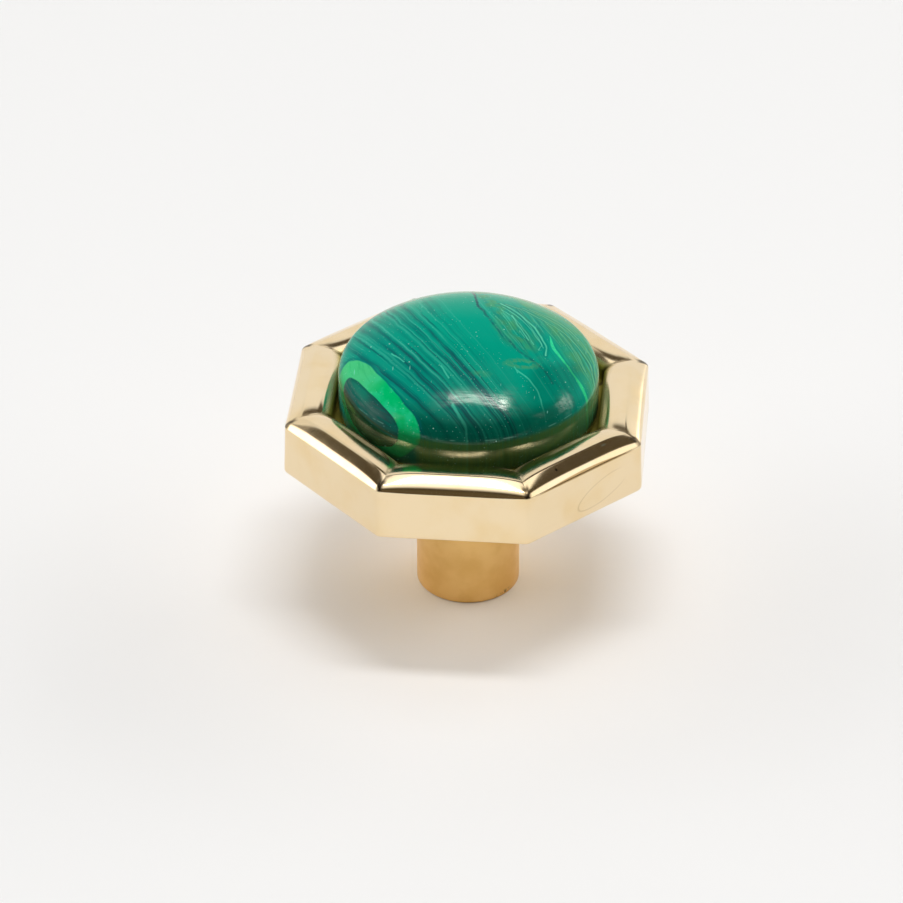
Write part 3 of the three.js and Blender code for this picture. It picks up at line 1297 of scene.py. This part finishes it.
@dataclass(frozen=True)
class Specks:
    """Tiny pale specks and short hairlines, scattered over the stone.

    Attributes:
        dots: For each size of speck, how many there are in a metre, its radius in its cell, the
            noise from which it shows, and how strongly it is coloured.
        scuffs: For each run of hairlines, its angle and how many there are in a metre.
        scuff_shape: How far each direction is squeezed before the hairlines are scattered.
    """

    dots: tuple[tuple[float, float, float, float], ...] = (
        (900.0, 0.080, 0.48, 0.80),
        (1700.0, 0.10, 0.47, 0.50),
        (3200.0, 0.15, 0.42, 0.35),
    )
    scuffs: tuple[Point, ...] = ((0.9, 900.0), (-0.5, 800.0), (1.5, 850.0), (0.2, 700.0))
    scuff_shape: tuple[float, float, float] = (1.0, 0.06, 0.6)

    def lay(self, spot: Spot, paint: Paint) -> None:
        """Scatter them over the stone."""
        nodes, place = spot.nodes, spot.place
        few = nodes.noise(place, 500.0, 1.0)
        for scale, size, shows, strength in self.dots:
            here = self._cells(nodes, place, scale).ease(size, size * 0.3) * few.ease(shows, shows + 0.08)
            paint.lay(here * strength, spot.greens.speck)
        for turn, scale in self.scuffs:
            inputs = {"Vector": place, "Rotation": (0.0, 0.0, turn), "Scale": self.scuff_shape}
            lean = nodes.add("ShaderNodeMapping", None, inputs).outputs[0]
            here = self._cells(nodes, lean, scale).ease(0.058, 0.020) * few.ease(0.58, 0.48)
            paint.lay(here * 0.55, spot.greens.scuff)

    @staticmethod
    def _cells(nodes: Nodes, place: Socket, scale: float) -> Value:
        """Return the distance to the nearest of many scattered points."""
        node = nodes.add("ShaderNodeTexVoronoi", None, {"Vector": place, "Scale": scale})
        return Value(nodes, node.outputs["Distance"])


@dataclass(frozen=True)
class Gloss:
    """The stone's worn polish, which mirrors most where it is seen edge on.

    How much it mirrors follows from the share of light that a clear surface would throw back at the
    angle it is seen at, which grows from 0.053 straight on to 1 edge on.

    Attributes:
        index: The stone's refractive index.
        mirrored: The colour that the polish gives to what it mirrors.
        dulled: How much of the polish is worn off, from 0 to 1.
        roughness: How rough the polish is.
        worn_roughness: How rough the stone is where the polish is worn off.
        shares: For each such share, how much is mirrored.
        straight_on: Shares between which the stone is no longer seen straight on.
        sheen_starts: Shares between which the dome's faint sheen sets in.
        sheen_ends: Shares between which it fades again.
        wall_top: Heights between which the polish of the dome gives way to that of the wall.
        rubbed_right: Middle of a brighter patch on the right of the shoulder.
        rubbed_front: Middle of another one in front of it.
    """

    index: float = 1.6
    mirrored: Colour = (1.0, 0.98, 0.86, 1.0)
    dulled: float = 0.965
    roughness: float = 0.12
    worn_roughness: float = 0.6
    shares: tuple[Point, ...] = (
        (0.053, 0.002),
        (0.060, 0.001),
        (0.080, 0.000),
        (0.100, 0.000),
        (0.118, 0.008),
        (0.188, 0.042),
        (0.270, 0.100),
        (0.420, 0.250),
        (1.000, 1.000),
    )
    straight_on: Point = (0.0534, 0.0538)
    sheen_starts: Point = (0.05396, 0.05417)
    sheen_ends: Point = (0.0555, 0.0548)
    wall_top: Point = (22.95, 22.6)
    rubbed_right: tuple[float, float, float] = (9.5, -6.8, 25.1)
    rubbed_front: tuple[float, float, float] = (5.2, -8.8, 26.1)

    def finish(self, spot: Spot, colour: Socket, normal: Socket) -> None:
        """Finish the material.

        Args:
            spot: The place on the stone.
            colour: Its body colour there.
            normal: Its normal there.
        """
        nodes, x, y, z = spot.nodes, spot.x, spot.y, spot.z
        haze = nodes.noise(nodes.vector(x, y, z), 2.5)
        on_wall = z.ease(*self.wall_top)
        rough = self.roughness + (haze - 0.5) * 0.12 + on_wall * 0.10
        shiny = nodes.add("ShaderNodeBsdfPrincipled", None, {"IOR": self.index})
        bare = {"Specular IOR Level": 0.0, "Roughness": self.worn_roughness}
        dull = nodes.add("ShaderNodeBsdfPrincipled", None, bare)
        mirror = nodes.add("ShaderNodeBsdfAnisotropic", {"distribution": "GGX"}, {"Color": self.mirrored})
        for shader in (shiny, dull):
            nodes.feed(shader, "Base Color", colour)
        for shader in (shiny, mirror):
            nodes.feed(shader, "Roughness", rough)
        for shader in (shiny, dull, mirror):
            nodes.feed(shader, "Normal", normal)
        share = self._share(spot, on_wall)
        body = {0: self.dulled, 1: shiny.outputs[0], 2: dull.outputs[0]}
        skin = {0: share, 1: nodes.add("ShaderNodeMixShader", None, body).outputs[0], 2: mirror.outputs[0]}
        surface = nodes.add("ShaderNodeMixShader", None, skin).outputs[0]
        nodes.add("ShaderNodeOutputMaterial", None, {"Surface": surface})

    def _share(self, spot: Spot, on_wall: Value) -> Value:
        """Return how much is mirrored, from 0 to 1."""
        nodes = spot.nodes
        back = Value(nodes, nodes.add("ShaderNodeFresnel", None, {"IOR": self.index}).outputs[0])
        share = nodes.curve(back, self.shares)
        streaks = nodes.noise(nodes.vector(spot.x * 0.5, spot.y * 6.0, spot.z * 5.0), 1.0, 3.0, 0.65)
        tilted = back.ease(*self.straight_on)
        sheen = back.ease(*self.sheen_starts) * back.ease(*self.sheen_ends)
        right = spot.away(*self.rubbed_right).ease(1.5, 0.4)
        front = spot.away(*self.rubbed_front).ease(2.1, 0.8)
        rubbed = right.most(front * 0.85) * tilted
        share = share + (sheen * 0.023 + rubbed * 0.085) * streaks.ease(0.30, 0.62)
        return (share + on_wall * tilted * 0.12).least(1.0)


@dataclass(frozen=True)
class Malachite:
    """Polished malachite: parallel bands, a fingerprint of nested loops, veins and an eye.

    Places are in millimetres.

    Attributes:
        greens: The stone's colours.
        bands: Its bands.
        fingerprint: Its fingerprint.
        veins: Its veins and inclusions.
        eye: Its eye.
        specks: Its specks and hairlines.
        gloss: Its polish.
        scratches: How deep the fine marks of the wheel are, in metres.
    """

    greens: Greens = Greens()
    bands: Bands = Bands()
    fingerprint: Fingerprint = Fingerprint()
    veins: Veins = Veins()
    eye: Eye = Eye()
    specks: Specks = Specks()
    gloss: Gloss = Gloss()
    scratches: float = 0.0016 * MM

    def build(self, name: str) -> bpy.types.Material:
        """Return the material."""
        material = new_material(name)
        nodes = Nodes(material.node_tree)
        place = nodes.add("ShaderNodeTexCoord").outputs["Object"]
        spot = Spot(nodes, self.greens, place, *(part / MM for part in nodes.split(place)))
        across = self.bands.across(spot)
        paint = self.bands.lay(spot, across)
        self.fingerprint.lay(spot, across, paint)
        self.veins.lay(spot, paint)
        self._shade(spot, paint)
        self.eye.lay(spot, paint)
        self._girdle(spot, paint)
        self.specks.lay(spot, paint)
        self.gloss.finish(spot, paint.colour, nodes.bump(self._height(spot)))
        return material

    def _shade(self, spot: Spot, paint: Paint) -> None:
        """Darken the front of the shoulder and of the wall."""
        x, y = spot.x, spot.y
        front = spot.z.ease(26.7, 24.9) * 0.78 * y.ease(-3.0, -9.0)
        right = (x * 0.8 - y).ease(9.0, 10.8) * x.ease(5.4, 7.0) * x.ease(11.4, 10.0) * 0.35
        # Painted shade where the shoulder and the wall turn away from the overhead light.
        paint.lay(front.most(right), self.greens.deep)

    def _girdle(self, spot: Spot, paint: Paint) -> None:
        """Grind the wall dull, with fine upright lines and a chipped lip, and paint shade on its foot."""
        nodes, z = spot.nodes, spot.z
        lines = nodes.noise(nodes.vector(spot.around() * 90.0, z * 0.4, 1.0), 1.0, 2.0)
        by_eye = spot.x.ease(-3.2, -4.2)
        paint.lay(z.ease(23.95, 23.35) * (0.35 + lines * 0.75) * (1.0 - by_eye * 0.85), self.greens.girdle)
        chipped = nodes.noise(spot.flat(0.0), 0.9, 3.0).ease(0.50, 0.62)
        paint.lay(z.bell(23.9, 0.05) * chipped * 0.35, self.greens.lip)
        # Painted shade on the foot of the wall, where it sinks into the pocket.
        paint.lay(z.ease(20.8, 20.2) * (0.6 - by_eye * 0.35), self.greens.foot)

    def _height(self, spot: Spot) -> Value:
        """Return the height of the fine wheel marks and of the tiny pits."""
        nodes, z = spot.nodes, spot.z
        radius = nodes.length(spot.x, spot.y)
        marks = nodes.noise(nodes.vector(spot.around() * 30.0, radius * 5.0, z * 5.0), 1.0, 3.0, 0.7)
        pits = nodes.noise(nodes.vector(spot.x, spot.y, z), 9.0, 2.0)
        return (marks * 0.6 + pits * 0.5) * self.scratches


# The pieces of the knob


def mounted(piece: bpy.types.Object, node: str) -> bpy.types.Object:
    """Put a piece on the knob's one body, in place of its solid.

    Args:
        piece: The piece, in place.
        node: The solid that it stands for.

    Returns:
        The piece.
    """
    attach(piece, ROOT)
    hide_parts(node)
    return piece


@dataclass
class Stone:
    """The domed malachite cabochon.

    Attributes:
        dome_radius: Radius of the dome.
        shoulder_radius: Radius between the dome and the upright wall.
        base_bevel: Bevel round the foot of the wall.
        rows: Rows of the underside, the bevel, the wall, the shoulder and the dome.
        columns: Columns all the way round.
    """

    dome_radius: float = 19.0 * MM
    shoulder_radius: float = 2.6 * MM
    base_bevel: float = 0.5 * MM
    rows: tuple[int, int, int, int, int] = (12, 4, 12, 20, 50)
    columns: int = 256

    def levels(self) -> list[Level]:
        """Return the stone's section, from its underside to its top."""
        low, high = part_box("malachite_cabochon")
        wall = high.x
        dome_centre = (0.0, high.z - self.dome_radius)
        reach = self.dome_radius - self.shoulder_radius
        meet = math.acos((wall - self.shoulder_radius) / reach)
        shoulder_centre = (wall - self.shoulder_radius, dome_centre[1] + reach * math.sin(meet))
        corners = [
            (wall - self.base_bevel, low.z),
            (wall, low.z + self.base_bevel),
            (wall, shoulder_centre[1]),
        ]
        points = [(0.0, low.z)]
        for corner, rows in zip(corners, self.rows):
            points += line(points[-1], corner, rows)
        points += arc(shoulder_centre, self.shoulder_radius, 0.0, meet, self.rows[3])
        points += arc(dome_centre, self.dome_radius, meet, QUARTER_TURN, self.rows[4])
        points[-1] = (0.0, high.z)
        return [Level(*point) for point in points]

    def build(self) -> bpy.types.Object:
        """Make the stone."""
        material = Malachite().build("malachite")
        piece = Turning("malachite_stone", self.levels(), RingShape.ROUND, self.columns, material).build()
        return mounted(piece, "malachite_cabochon")


@dataclass
class Bar:
    """The rounded bar along each side of the head, as a chain of arcs.

    Attributes:
        rolls: For each arc over the bar from the side face, the slope at which the surface
            faces when the arc ends (degrees above level) and the arc's length.
        first_slope: The slope at which it faces where the first arc starts.
        edge_bow: How far the side face's top edge dips in the middle of a side.
        crest_sink: How far the crest sinks at a mitre.
        inner_power: How squarely the bar falls to the pocket; 2 is a quarter of an ellipse.
        inner_rows: Rows of that fall.
        step: Length between the section's points over the arcs.
    """

    rolls: tuple[Point, ...] = (
        (20.0, 0.10 * MM),
        (57.0, 0.95 * MM),
        (64.0, 0.95 * MM),
        (86.0, 0.30 * MM),
        (90.0, 0.45 * MM),
    )
    first_slope: float = 2.0
    edge_bow: float = 0.15 * MM
    crest_sink: float = 0.33 * MM
    inner_power: float = 2.6
    inner_rows: int = 24
    step: float = 0.05 * MM

    def outer(self, foot: Point, crest: float) -> list[Point]:
        """Return the points of the bar's outer half, from the side face's top edge to the crest.

        Args:
            foot: Reach and height of the edge.
            crest: Height of the crest.

        Returns:
            The reach and height of each point.
        """
        (reach, height), slope = foot, self.first_slope
        points = [foot]
        for end, length in self.rolls:
            steps = max(2, round(length / self.step))
            for i in range(steps):
                facing = math.radians(slope + (end - slope) * (i + 0.5) / steps)
                reach -= math.sin(facing) * length / steps
                height += math.cos(facing) * length / steps
                points.append((reach, height))
            slope = end
        stretch = (crest - foot[1]) / (height - foot[1])
        return [(r, foot[1] + (h - foot[1]) * stretch) for r, h in points]

    def inner(self, crest: Point, foot: Point) -> list[Point]:
        """Return the points of its fall from the crest to the pocket's wall."""
        share = 2 / self.inner_power
        half, fall = crest[0] - foot[0], crest[1] - foot[1]
        angles = [QUARTER_TURN * (i + 1) / self.inner_rows for i in range(self.inner_rows)]
        return [
            (crest[0] - half * math.sin(a) ** share, crest[1] - fall * (1 - math.cos(a) ** share))
            for a in angles
        ]


@dataclass
class Head:
    """The eight-sided brass head.

    Attributes:
        bar: The bar along each side.
        draft: How far the side faces lean in towards their top.
        side_top: Height of the side faces' top edge at a corner.
        lower_round: Radius of the lower edge.
        upright_round: Radius of the upright edges.
        round_power: Power by which that radius fades to nothing in the middle of the underside.
        bow_power: Power by which the top edge's dip fades down the side face.
        pocket_wall: Distance from the axis to the pocket's flat walls.
        pocket_floor: Height of the pocket's floor.
        ledge_round: Radius at the foot of the pocket's wall.
        uneven: How far its surface wanders.
        rows: Rows of the underside, the lower edge, the side face, the pocket's wall, its ledge
            and its floor.
        side_columns: Columns of each side.
    """

    bar: Bar = field(default_factory=Bar)
    draft: float = 0.16 * MM
    side_top: float = 20.8 * MM
    lower_round: float = 0.35 * MM
    upright_round: float = 0.9 * MM
    round_power: int = 4
    bow_power: int = 6
    pocket_wall: float = 12.6 * MM
    pocket_floor: float = 19.6 * MM
    ledge_round: float = 0.2 * MM
    uneven: float = 0.04 * MM
    rows: tuple[int, int, int, int, int, int] = (30, 6, 12, 6, 3, 20)
    side_columns: int = 60

    def bar_levels(self, edge: Point, crest: float) -> list[Level]:
        """Return the bar's section, from the side face's top edge to the pocket's wall."""
        outer = self.bar.outer(edge, crest)
        inner = self.bar.inner((outer[-1][0], crest), (self.pocket_wall, edge[1]))
        fall = crest - edge[1]
        mitre_crest = crest - self.bar.crest_sink
        levels = []
        for i, (reach, height) in enumerate(outer):
            mitre = self.side_top + (mitre_crest - self.side_top) * (height - edge[1]) / fall
            corner = self.upright_round * (1 - i / (len(outer) - 1))
            levels.append(Level(reach, height, mitre, corner))
        for reach, height in inner:
            mitre = edge[1] + (mitre_crest - edge[1]) * (height - edge[1]) / fall
            levels.append(Level(reach, height, mitre))
        return levels

    def levels(self) -> list[Level]:
        """Return the head's section, from the middle of its underside to the middle of its pocket."""
        low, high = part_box("head")
        flat = high.y
        under_rows, edge_rows, side_rows, wall_rows, ledge_rows, floor_rows = self.rows
        lower_centre = (flat - self.lower_round, low.z + self.lower_round)
        middle = (0.0, low.z)
        under = [middle] + line(middle, (lower_centre[0], low.z), under_rows)
        edge = arc(lower_centre, self.lower_round, -QUARTER_TURN, 0.0, edge_rows)
        side_end = (flat - self.draft, self.side_top - self.bar.edge_bow)
        side = line(edge[-1], side_end, side_rows)[:-1]
        levels = []
        for reach, height in under:
            corner = self.upright_round * (reach / flat) ** self.round_power
            levels.append(Level(reach, height, None, corner))
        levels += [Level(reach, height, None, self.upright_round) for reach, height in edge]
        for reach, height in side:
            rise = (height - edge[-1][1]) / (side_end[1] - edge[-1][1])
            mitre = height + self.bar.edge_bow * rise**self.bow_power
            levels.append(Level(reach, height, mitre, self.upright_round))
        levels += self.bar_levels(side_end, high.z)
        wall_foot = (self.pocket_wall, self.pocket_floor + self.ledge_round)
        pocket = line((levels[-1].reach, levels[-1].height), wall_foot, wall_rows)
        pocket += line(wall_foot, (self.pocket_wall - self.ledge_round, self.pocket_floor), ledge_rows)
        pocket += line(pocket[-1], (0.0, self.pocket_floor), floor_rows)
        return levels + [Level(*point) for point in pocket]

    def build(self) -> bpy.types.Object:
        """Make the head."""
        piece = Turning(
            "brass_head",
            self.levels(),
            RingShape.MITRED,
            SIDES * self.side_columns,
            PolishedBrass().build("polished_brass"),
            uneven=self.uneven,
        ).build()
        return mounted(piece, "head")


@dataclass
class Stem:
    """The brass stem with its tapped blind hole.

    Attributes:
        edge_break: Bevel of the stem's edges.
        hole_radius: Radius of the hole between its thread's grooves.
        hole_depth: Depth of the hole's full bore.
        mouth_bevel: Bevel of the hole's mouth.
        thread_depth: Depth of the thread.
        thread_pitch: Pitch of the thread.
        thread_rows: Rows of each turn of the thread.
        rows: Rows of the hole's mouth, the foot, its edge, the side and the top.
        columns: Columns all the way round.
    """

    edge_break: float = 0.2 * MM
    hole_radius: float = 1.65 * MM
    hole_depth: float = 11.0 * MM
    mouth_bevel: float = 0.45 * MM
    thread_depth: float = 0.35 * MM
    thread_pitch: float = 0.7 * MM
    thread_rows: int = 12
    rows: tuple[int, int, int, int, int] = (3, 8, 5, 30, 8)
    columns: int = 128

    def levels(self) -> list[Level]:
        """Return the stem's section, from the hole's end, out of its mouth and up the outside."""
        low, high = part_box("stem")
        radius, hole = high.x, self.hole_radius
        bore_top = (hole, self.hole_depth)
        bore_foot = (hole, self.mouth_bevel)
        thread_steps = round((self.hole_depth - self.mouth_bevel) / self.thread_pitch * self.thread_rows)
        levels = [Level(0.0, self.hole_depth + hole), Level(*bore_top)]
        for reach, height in line(bore_top, bore_foot, thread_steps):
            run_out = min(1.0, (self.hole_depth - height) / self.thread_pitch)
            levels.append(Level(reach, height, None, 0.0, run_out))
        mouth_rows, foot_rows, edge_rows, side_rows, top_rows = self.rows
        mouth = (hole + self.mouth_bevel, low.z)
        foot = (radius - self.edge_break, low.z)
        edge_centre = (foot[0], low.z + self.edge_break)
        outline = line(bore_foot, mouth, mouth_rows) + line(mouth, foot, foot_rows)
        outline += arc(edge_centre, self.edge_break, -QUARTER_TURN, 0.0, edge_rows)
        outline += line(outline[-1], (radius, high.z), side_rows)
        outline += line((radius, high.z), (0.0, high.z), top_rows)
        return levels + [Level(*point) for point in outline]

    def build(self) -> bpy.types.Object:
        """Make the stem."""
        piece = Turning(
            "brass_stem",
            self.levels(),
            RingShape.ROUND,
            self.columns,
            SatinBrass().build("satin_brass"),
            thread_depth=self.thread_depth,
            thread_pitch=self.thread_pitch,
        ).build()
        return mounted(piece, "stem")


# The studio


@dataclass(frozen=True)
class Panel:
    """A lit or dark stretch of the studio round the knob, as seen from it.

    Attributes:
        azimuth: Direction of its middle in degrees, 0 towards the camera and 90 to its right.
        half_width: Half its width in degrees.
        low: Elevation of its lower edge in degrees.
        high: Elevation of its upper edge in degrees.
        light: Its linear colour, brighter than 1 for a lamp's cloth.
        soft: How wide its soft edge is, in degrees.
    """

    azimuth: float
    half_width: float
    low: float
    high: float
    light: tuple[float, float, float]
    soft: float = 4.0

    def cover(self, azimuth: Value, elevation: Value) -> Value:
        """Return how much it covers a direction given in degrees, from 0 to 1."""
        half = self.soft / 2
        turned = (azimuth - (self.azimuth - 180.0)).apply("FLOORED_MODULO", 360.0) - 180.0
        side = abs(turned).ease(self.half_width + half, self.half_width - half)
        above = elevation.ease(self.low - half, self.low + half)
        below = elevation.ease(self.high + half, self.high - half)
        return side * above * below


@dataclass
class Studio:
    """Pale floor, soft light and the camera.

    Attributes:
        floor_size: Width of the floor.
        floor_colour: The floor's own colour.
        floor_drop: How far the floor lies under the stem's foot.
        key_place: Centre of the overhead light.
        key_size: Its width and its depth.
        key_power: Its power.
        bounce_power: Power of the light that the brass throws back on the floor under the head.
        bounce_colour: Its colour.
        bounce_share: Its width as a share of the head's.
        room: Light of the dim room where no panel is.
        backdrop: What the camera sees beyond the floor.
        panels: The lit stretches round the knob, each laid over the ones before it.
        glow: The cloth round the overhead light, at a height of 1 over the knob.
        glow_middle: How far its middle is to the right.
        glow_half: Half its width, at both ends of its soft edge.
        glow_front: How far back its front edge starts and ends.
        glow_back: How far back its back edge ends and starts.
        camera_place: Place of the camera.
        camera_down: Angle at which it looks down.
        camera_left: Angle at which it looks to the left.
        camera_lens: Its focal length in millimetres.
        camera_sensor: Width of its sensor in millimetres.
        camera_range: The nearest and the farthest thing that it sees.
    """

    floor_size: float = 1.6
    floor_colour: Colour = (0.90, 0.90, 0.90, 1.0)
    floor_drop: float = 0.01 * MM
    key_place: tuple[float, float, float] = (0.085, -0.045, 0.93)
    key_size: Point = (0.48, 0.10)
    key_power: float = 2.65
    bounce_power: float = 0.00110
    bounce_colour: tuple[float, float, float] = (1.0, 0.62, 0.26)
    bounce_share: float = 0.38
    room: Colour = (0.066, 0.052, 0.030, 1.0)
    backdrop: Colour = (0.93, 0.93, 0.93, 1.0)
    panels: tuple[Panel, ...] = (
        Panel(0.0, 75.0, -30.0, 38.0, (0.10, 0.080, 0.048), 12.0),
        Panel(180.0, 80.0, -30.0, 39.0, (0.88, 0.88, 0.88), 5.0),
        Panel(-171.5, 20.0, 30.0, 48.5, (0.90, 0.90, 0.90), 5.0),
        Panel(-143.0, 15.0, 30.0, 54.0, (0.80, 0.80, 0.80), 5.0),
        Panel(-95.0, 35.0, -30.0, 40.0, (2.1, 2.1, 2.1), 6.0),
        Panel(122.0, 24.0, -30.0, 39.0, (2.6, 2.6, 2.6), 6.0),
        Panel(87.0, 13.0, 6.0, 44.0, (1.3, 1.3, 1.3), 6.0),
    )
    glow: Colour = (1.3, 1.3, 1.3, 1.0)
    glow_middle: float = 0.03
    glow_half: Point = (0.42, 0.30)
    glow_front: Point = (-0.95, -0.28)
    glow_back: Point = (0.52, 0.42)
    camera_place: tuple[float, float, float] = (27.91 * MM, -330.32 * MM, 238.06 * MM)
    camera_down: float = 0.5935
    camera_left: float = 0.0892
    camera_lens: float = 165.65
    camera_sensor: float = 36.0
    camera_range: Point = (0.01, 10.0)

    def build(self) -> None:
        """Make the floor, the lights and the camera."""
        self._floor()
        self._key()
        self._bounce()
        self._world()
        self._camera()
        scene = bpy.context.scene
        scene.view_settings.view_transform = "Standard"
        scene.view_settings.look = "None"

    def _floor(self) -> None:
        """Lay the floor, just under the stem's foot."""
        half = self.floor_size / 2
        mesh = bpy.data.meshes.new("floor")
        corners = [(-half, -half, 0.0), (half, -half, 0.0), (half, half, 0.0), (-half, half, 0.0)]
        mesh.from_pydata(corners, [], [(0, 1, 2, 3)])
        material = new_material("floor_paper")
        paper = {"Base Color": self.floor_colour, "Roughness": 0.9, "Specular IOR Level": 0.0}
        Nodes(material.node_tree).principled(paper)
        mesh.materials.append(material)
        floor = linked("floor", mesh)
        floor.location.z = -self.floor_drop

    def _key(self) -> None:
        """Hang the wide soft light over the knob."""
        light = bpy.data.lights.new("key", "AREA")
        light.shape = "RECTANGLE"
        light.size, light.size_y = self.key_size
        light.energy = self.key_power
        linked("key", light).location = self.key_place

    def _bounce(self) -> None:
        """Warm the shadow under the head as its brass does."""
        low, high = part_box("head")
        light = bpy.data.lights.new("bounce", "AREA")
        light.shape = "DISK"
        light.size = (high.x - low.x) * self.bounce_share
        light.energy = self.bounce_power
        light.color = self.bounce_colour
        bounce = linked("bounce", light)
        bounce.location.z = low.z - 0.1 * MM
        bounce.visible_camera = False
        bounce.visible_glossy = False

    def _world(self) -> None:
        """Light the room from its panels, and show the camera a plain pale one."""
        world = bpy.data.worlds.new("studio")
        world.use_nodes = True
        world.node_tree.nodes.clear()
        nodes = Nodes(world.node_tree)
        x, y, z = nodes.split(nodes.add("ShaderNodeTexCoord").outputs["Generated"])
        degrees = 360.0 / FULL_TURN
        azimuth = x.apply("ARCTAN2", -y) * degrees
        elevation = z.least(1.0).most(-1.0).apply("ARCSINE") * degrees
        light = Paint(nodes, self.room)
        for panel in self.panels:
            light.lay(panel.cover(azimuth, elevation), (*panel.light, 1.0))
        right, back = x / z.most(0.05), y / z.most(0.05)
        across = abs(right - self.glow_middle).ease(*self.glow_half)
        deep = back.ease(*self.glow_front) * back.ease(*self.glow_back)
        light.lay(across * deep * (z > 0.05), self.glow)
        light.lay(Value(nodes, nodes.add("ShaderNodeLightPath").outputs["Is Camera Ray"]), self.backdrop)
        background = nodes.add("ShaderNodeBackground", None, {"Color": light.colour})
        nodes.add("ShaderNodeOutputWorld", None, {"Surface": background.outputs[0]})
        bpy.context.scene.world = world

    def _camera(self) -> None:
        """Place the camera where the knob was seen from."""
        data = bpy.data.cameras.new("camera")
        data.sensor_width = self.camera_sensor
        data.lens = self.camera_lens
        data.clip_start, data.clip_end = self.camera_range
        camera = linked("camera", data)
        camera.location = self.camera_place
        camera.rotation_euler = (QUARTER_TURN - self.camera_down, 0.0, self.camera_left)
        bpy.context.scene.camera = camera


def main() -> None:
    """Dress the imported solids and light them."""
    logging.basicConfig(level=logging.INFO, format="%(name)s: %(message)s")
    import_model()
    Studio().build()
    for piece in (Stone(), Head(), Stem()):
        piece.build()
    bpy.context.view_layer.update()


if __name__ == "__main__":
    main()
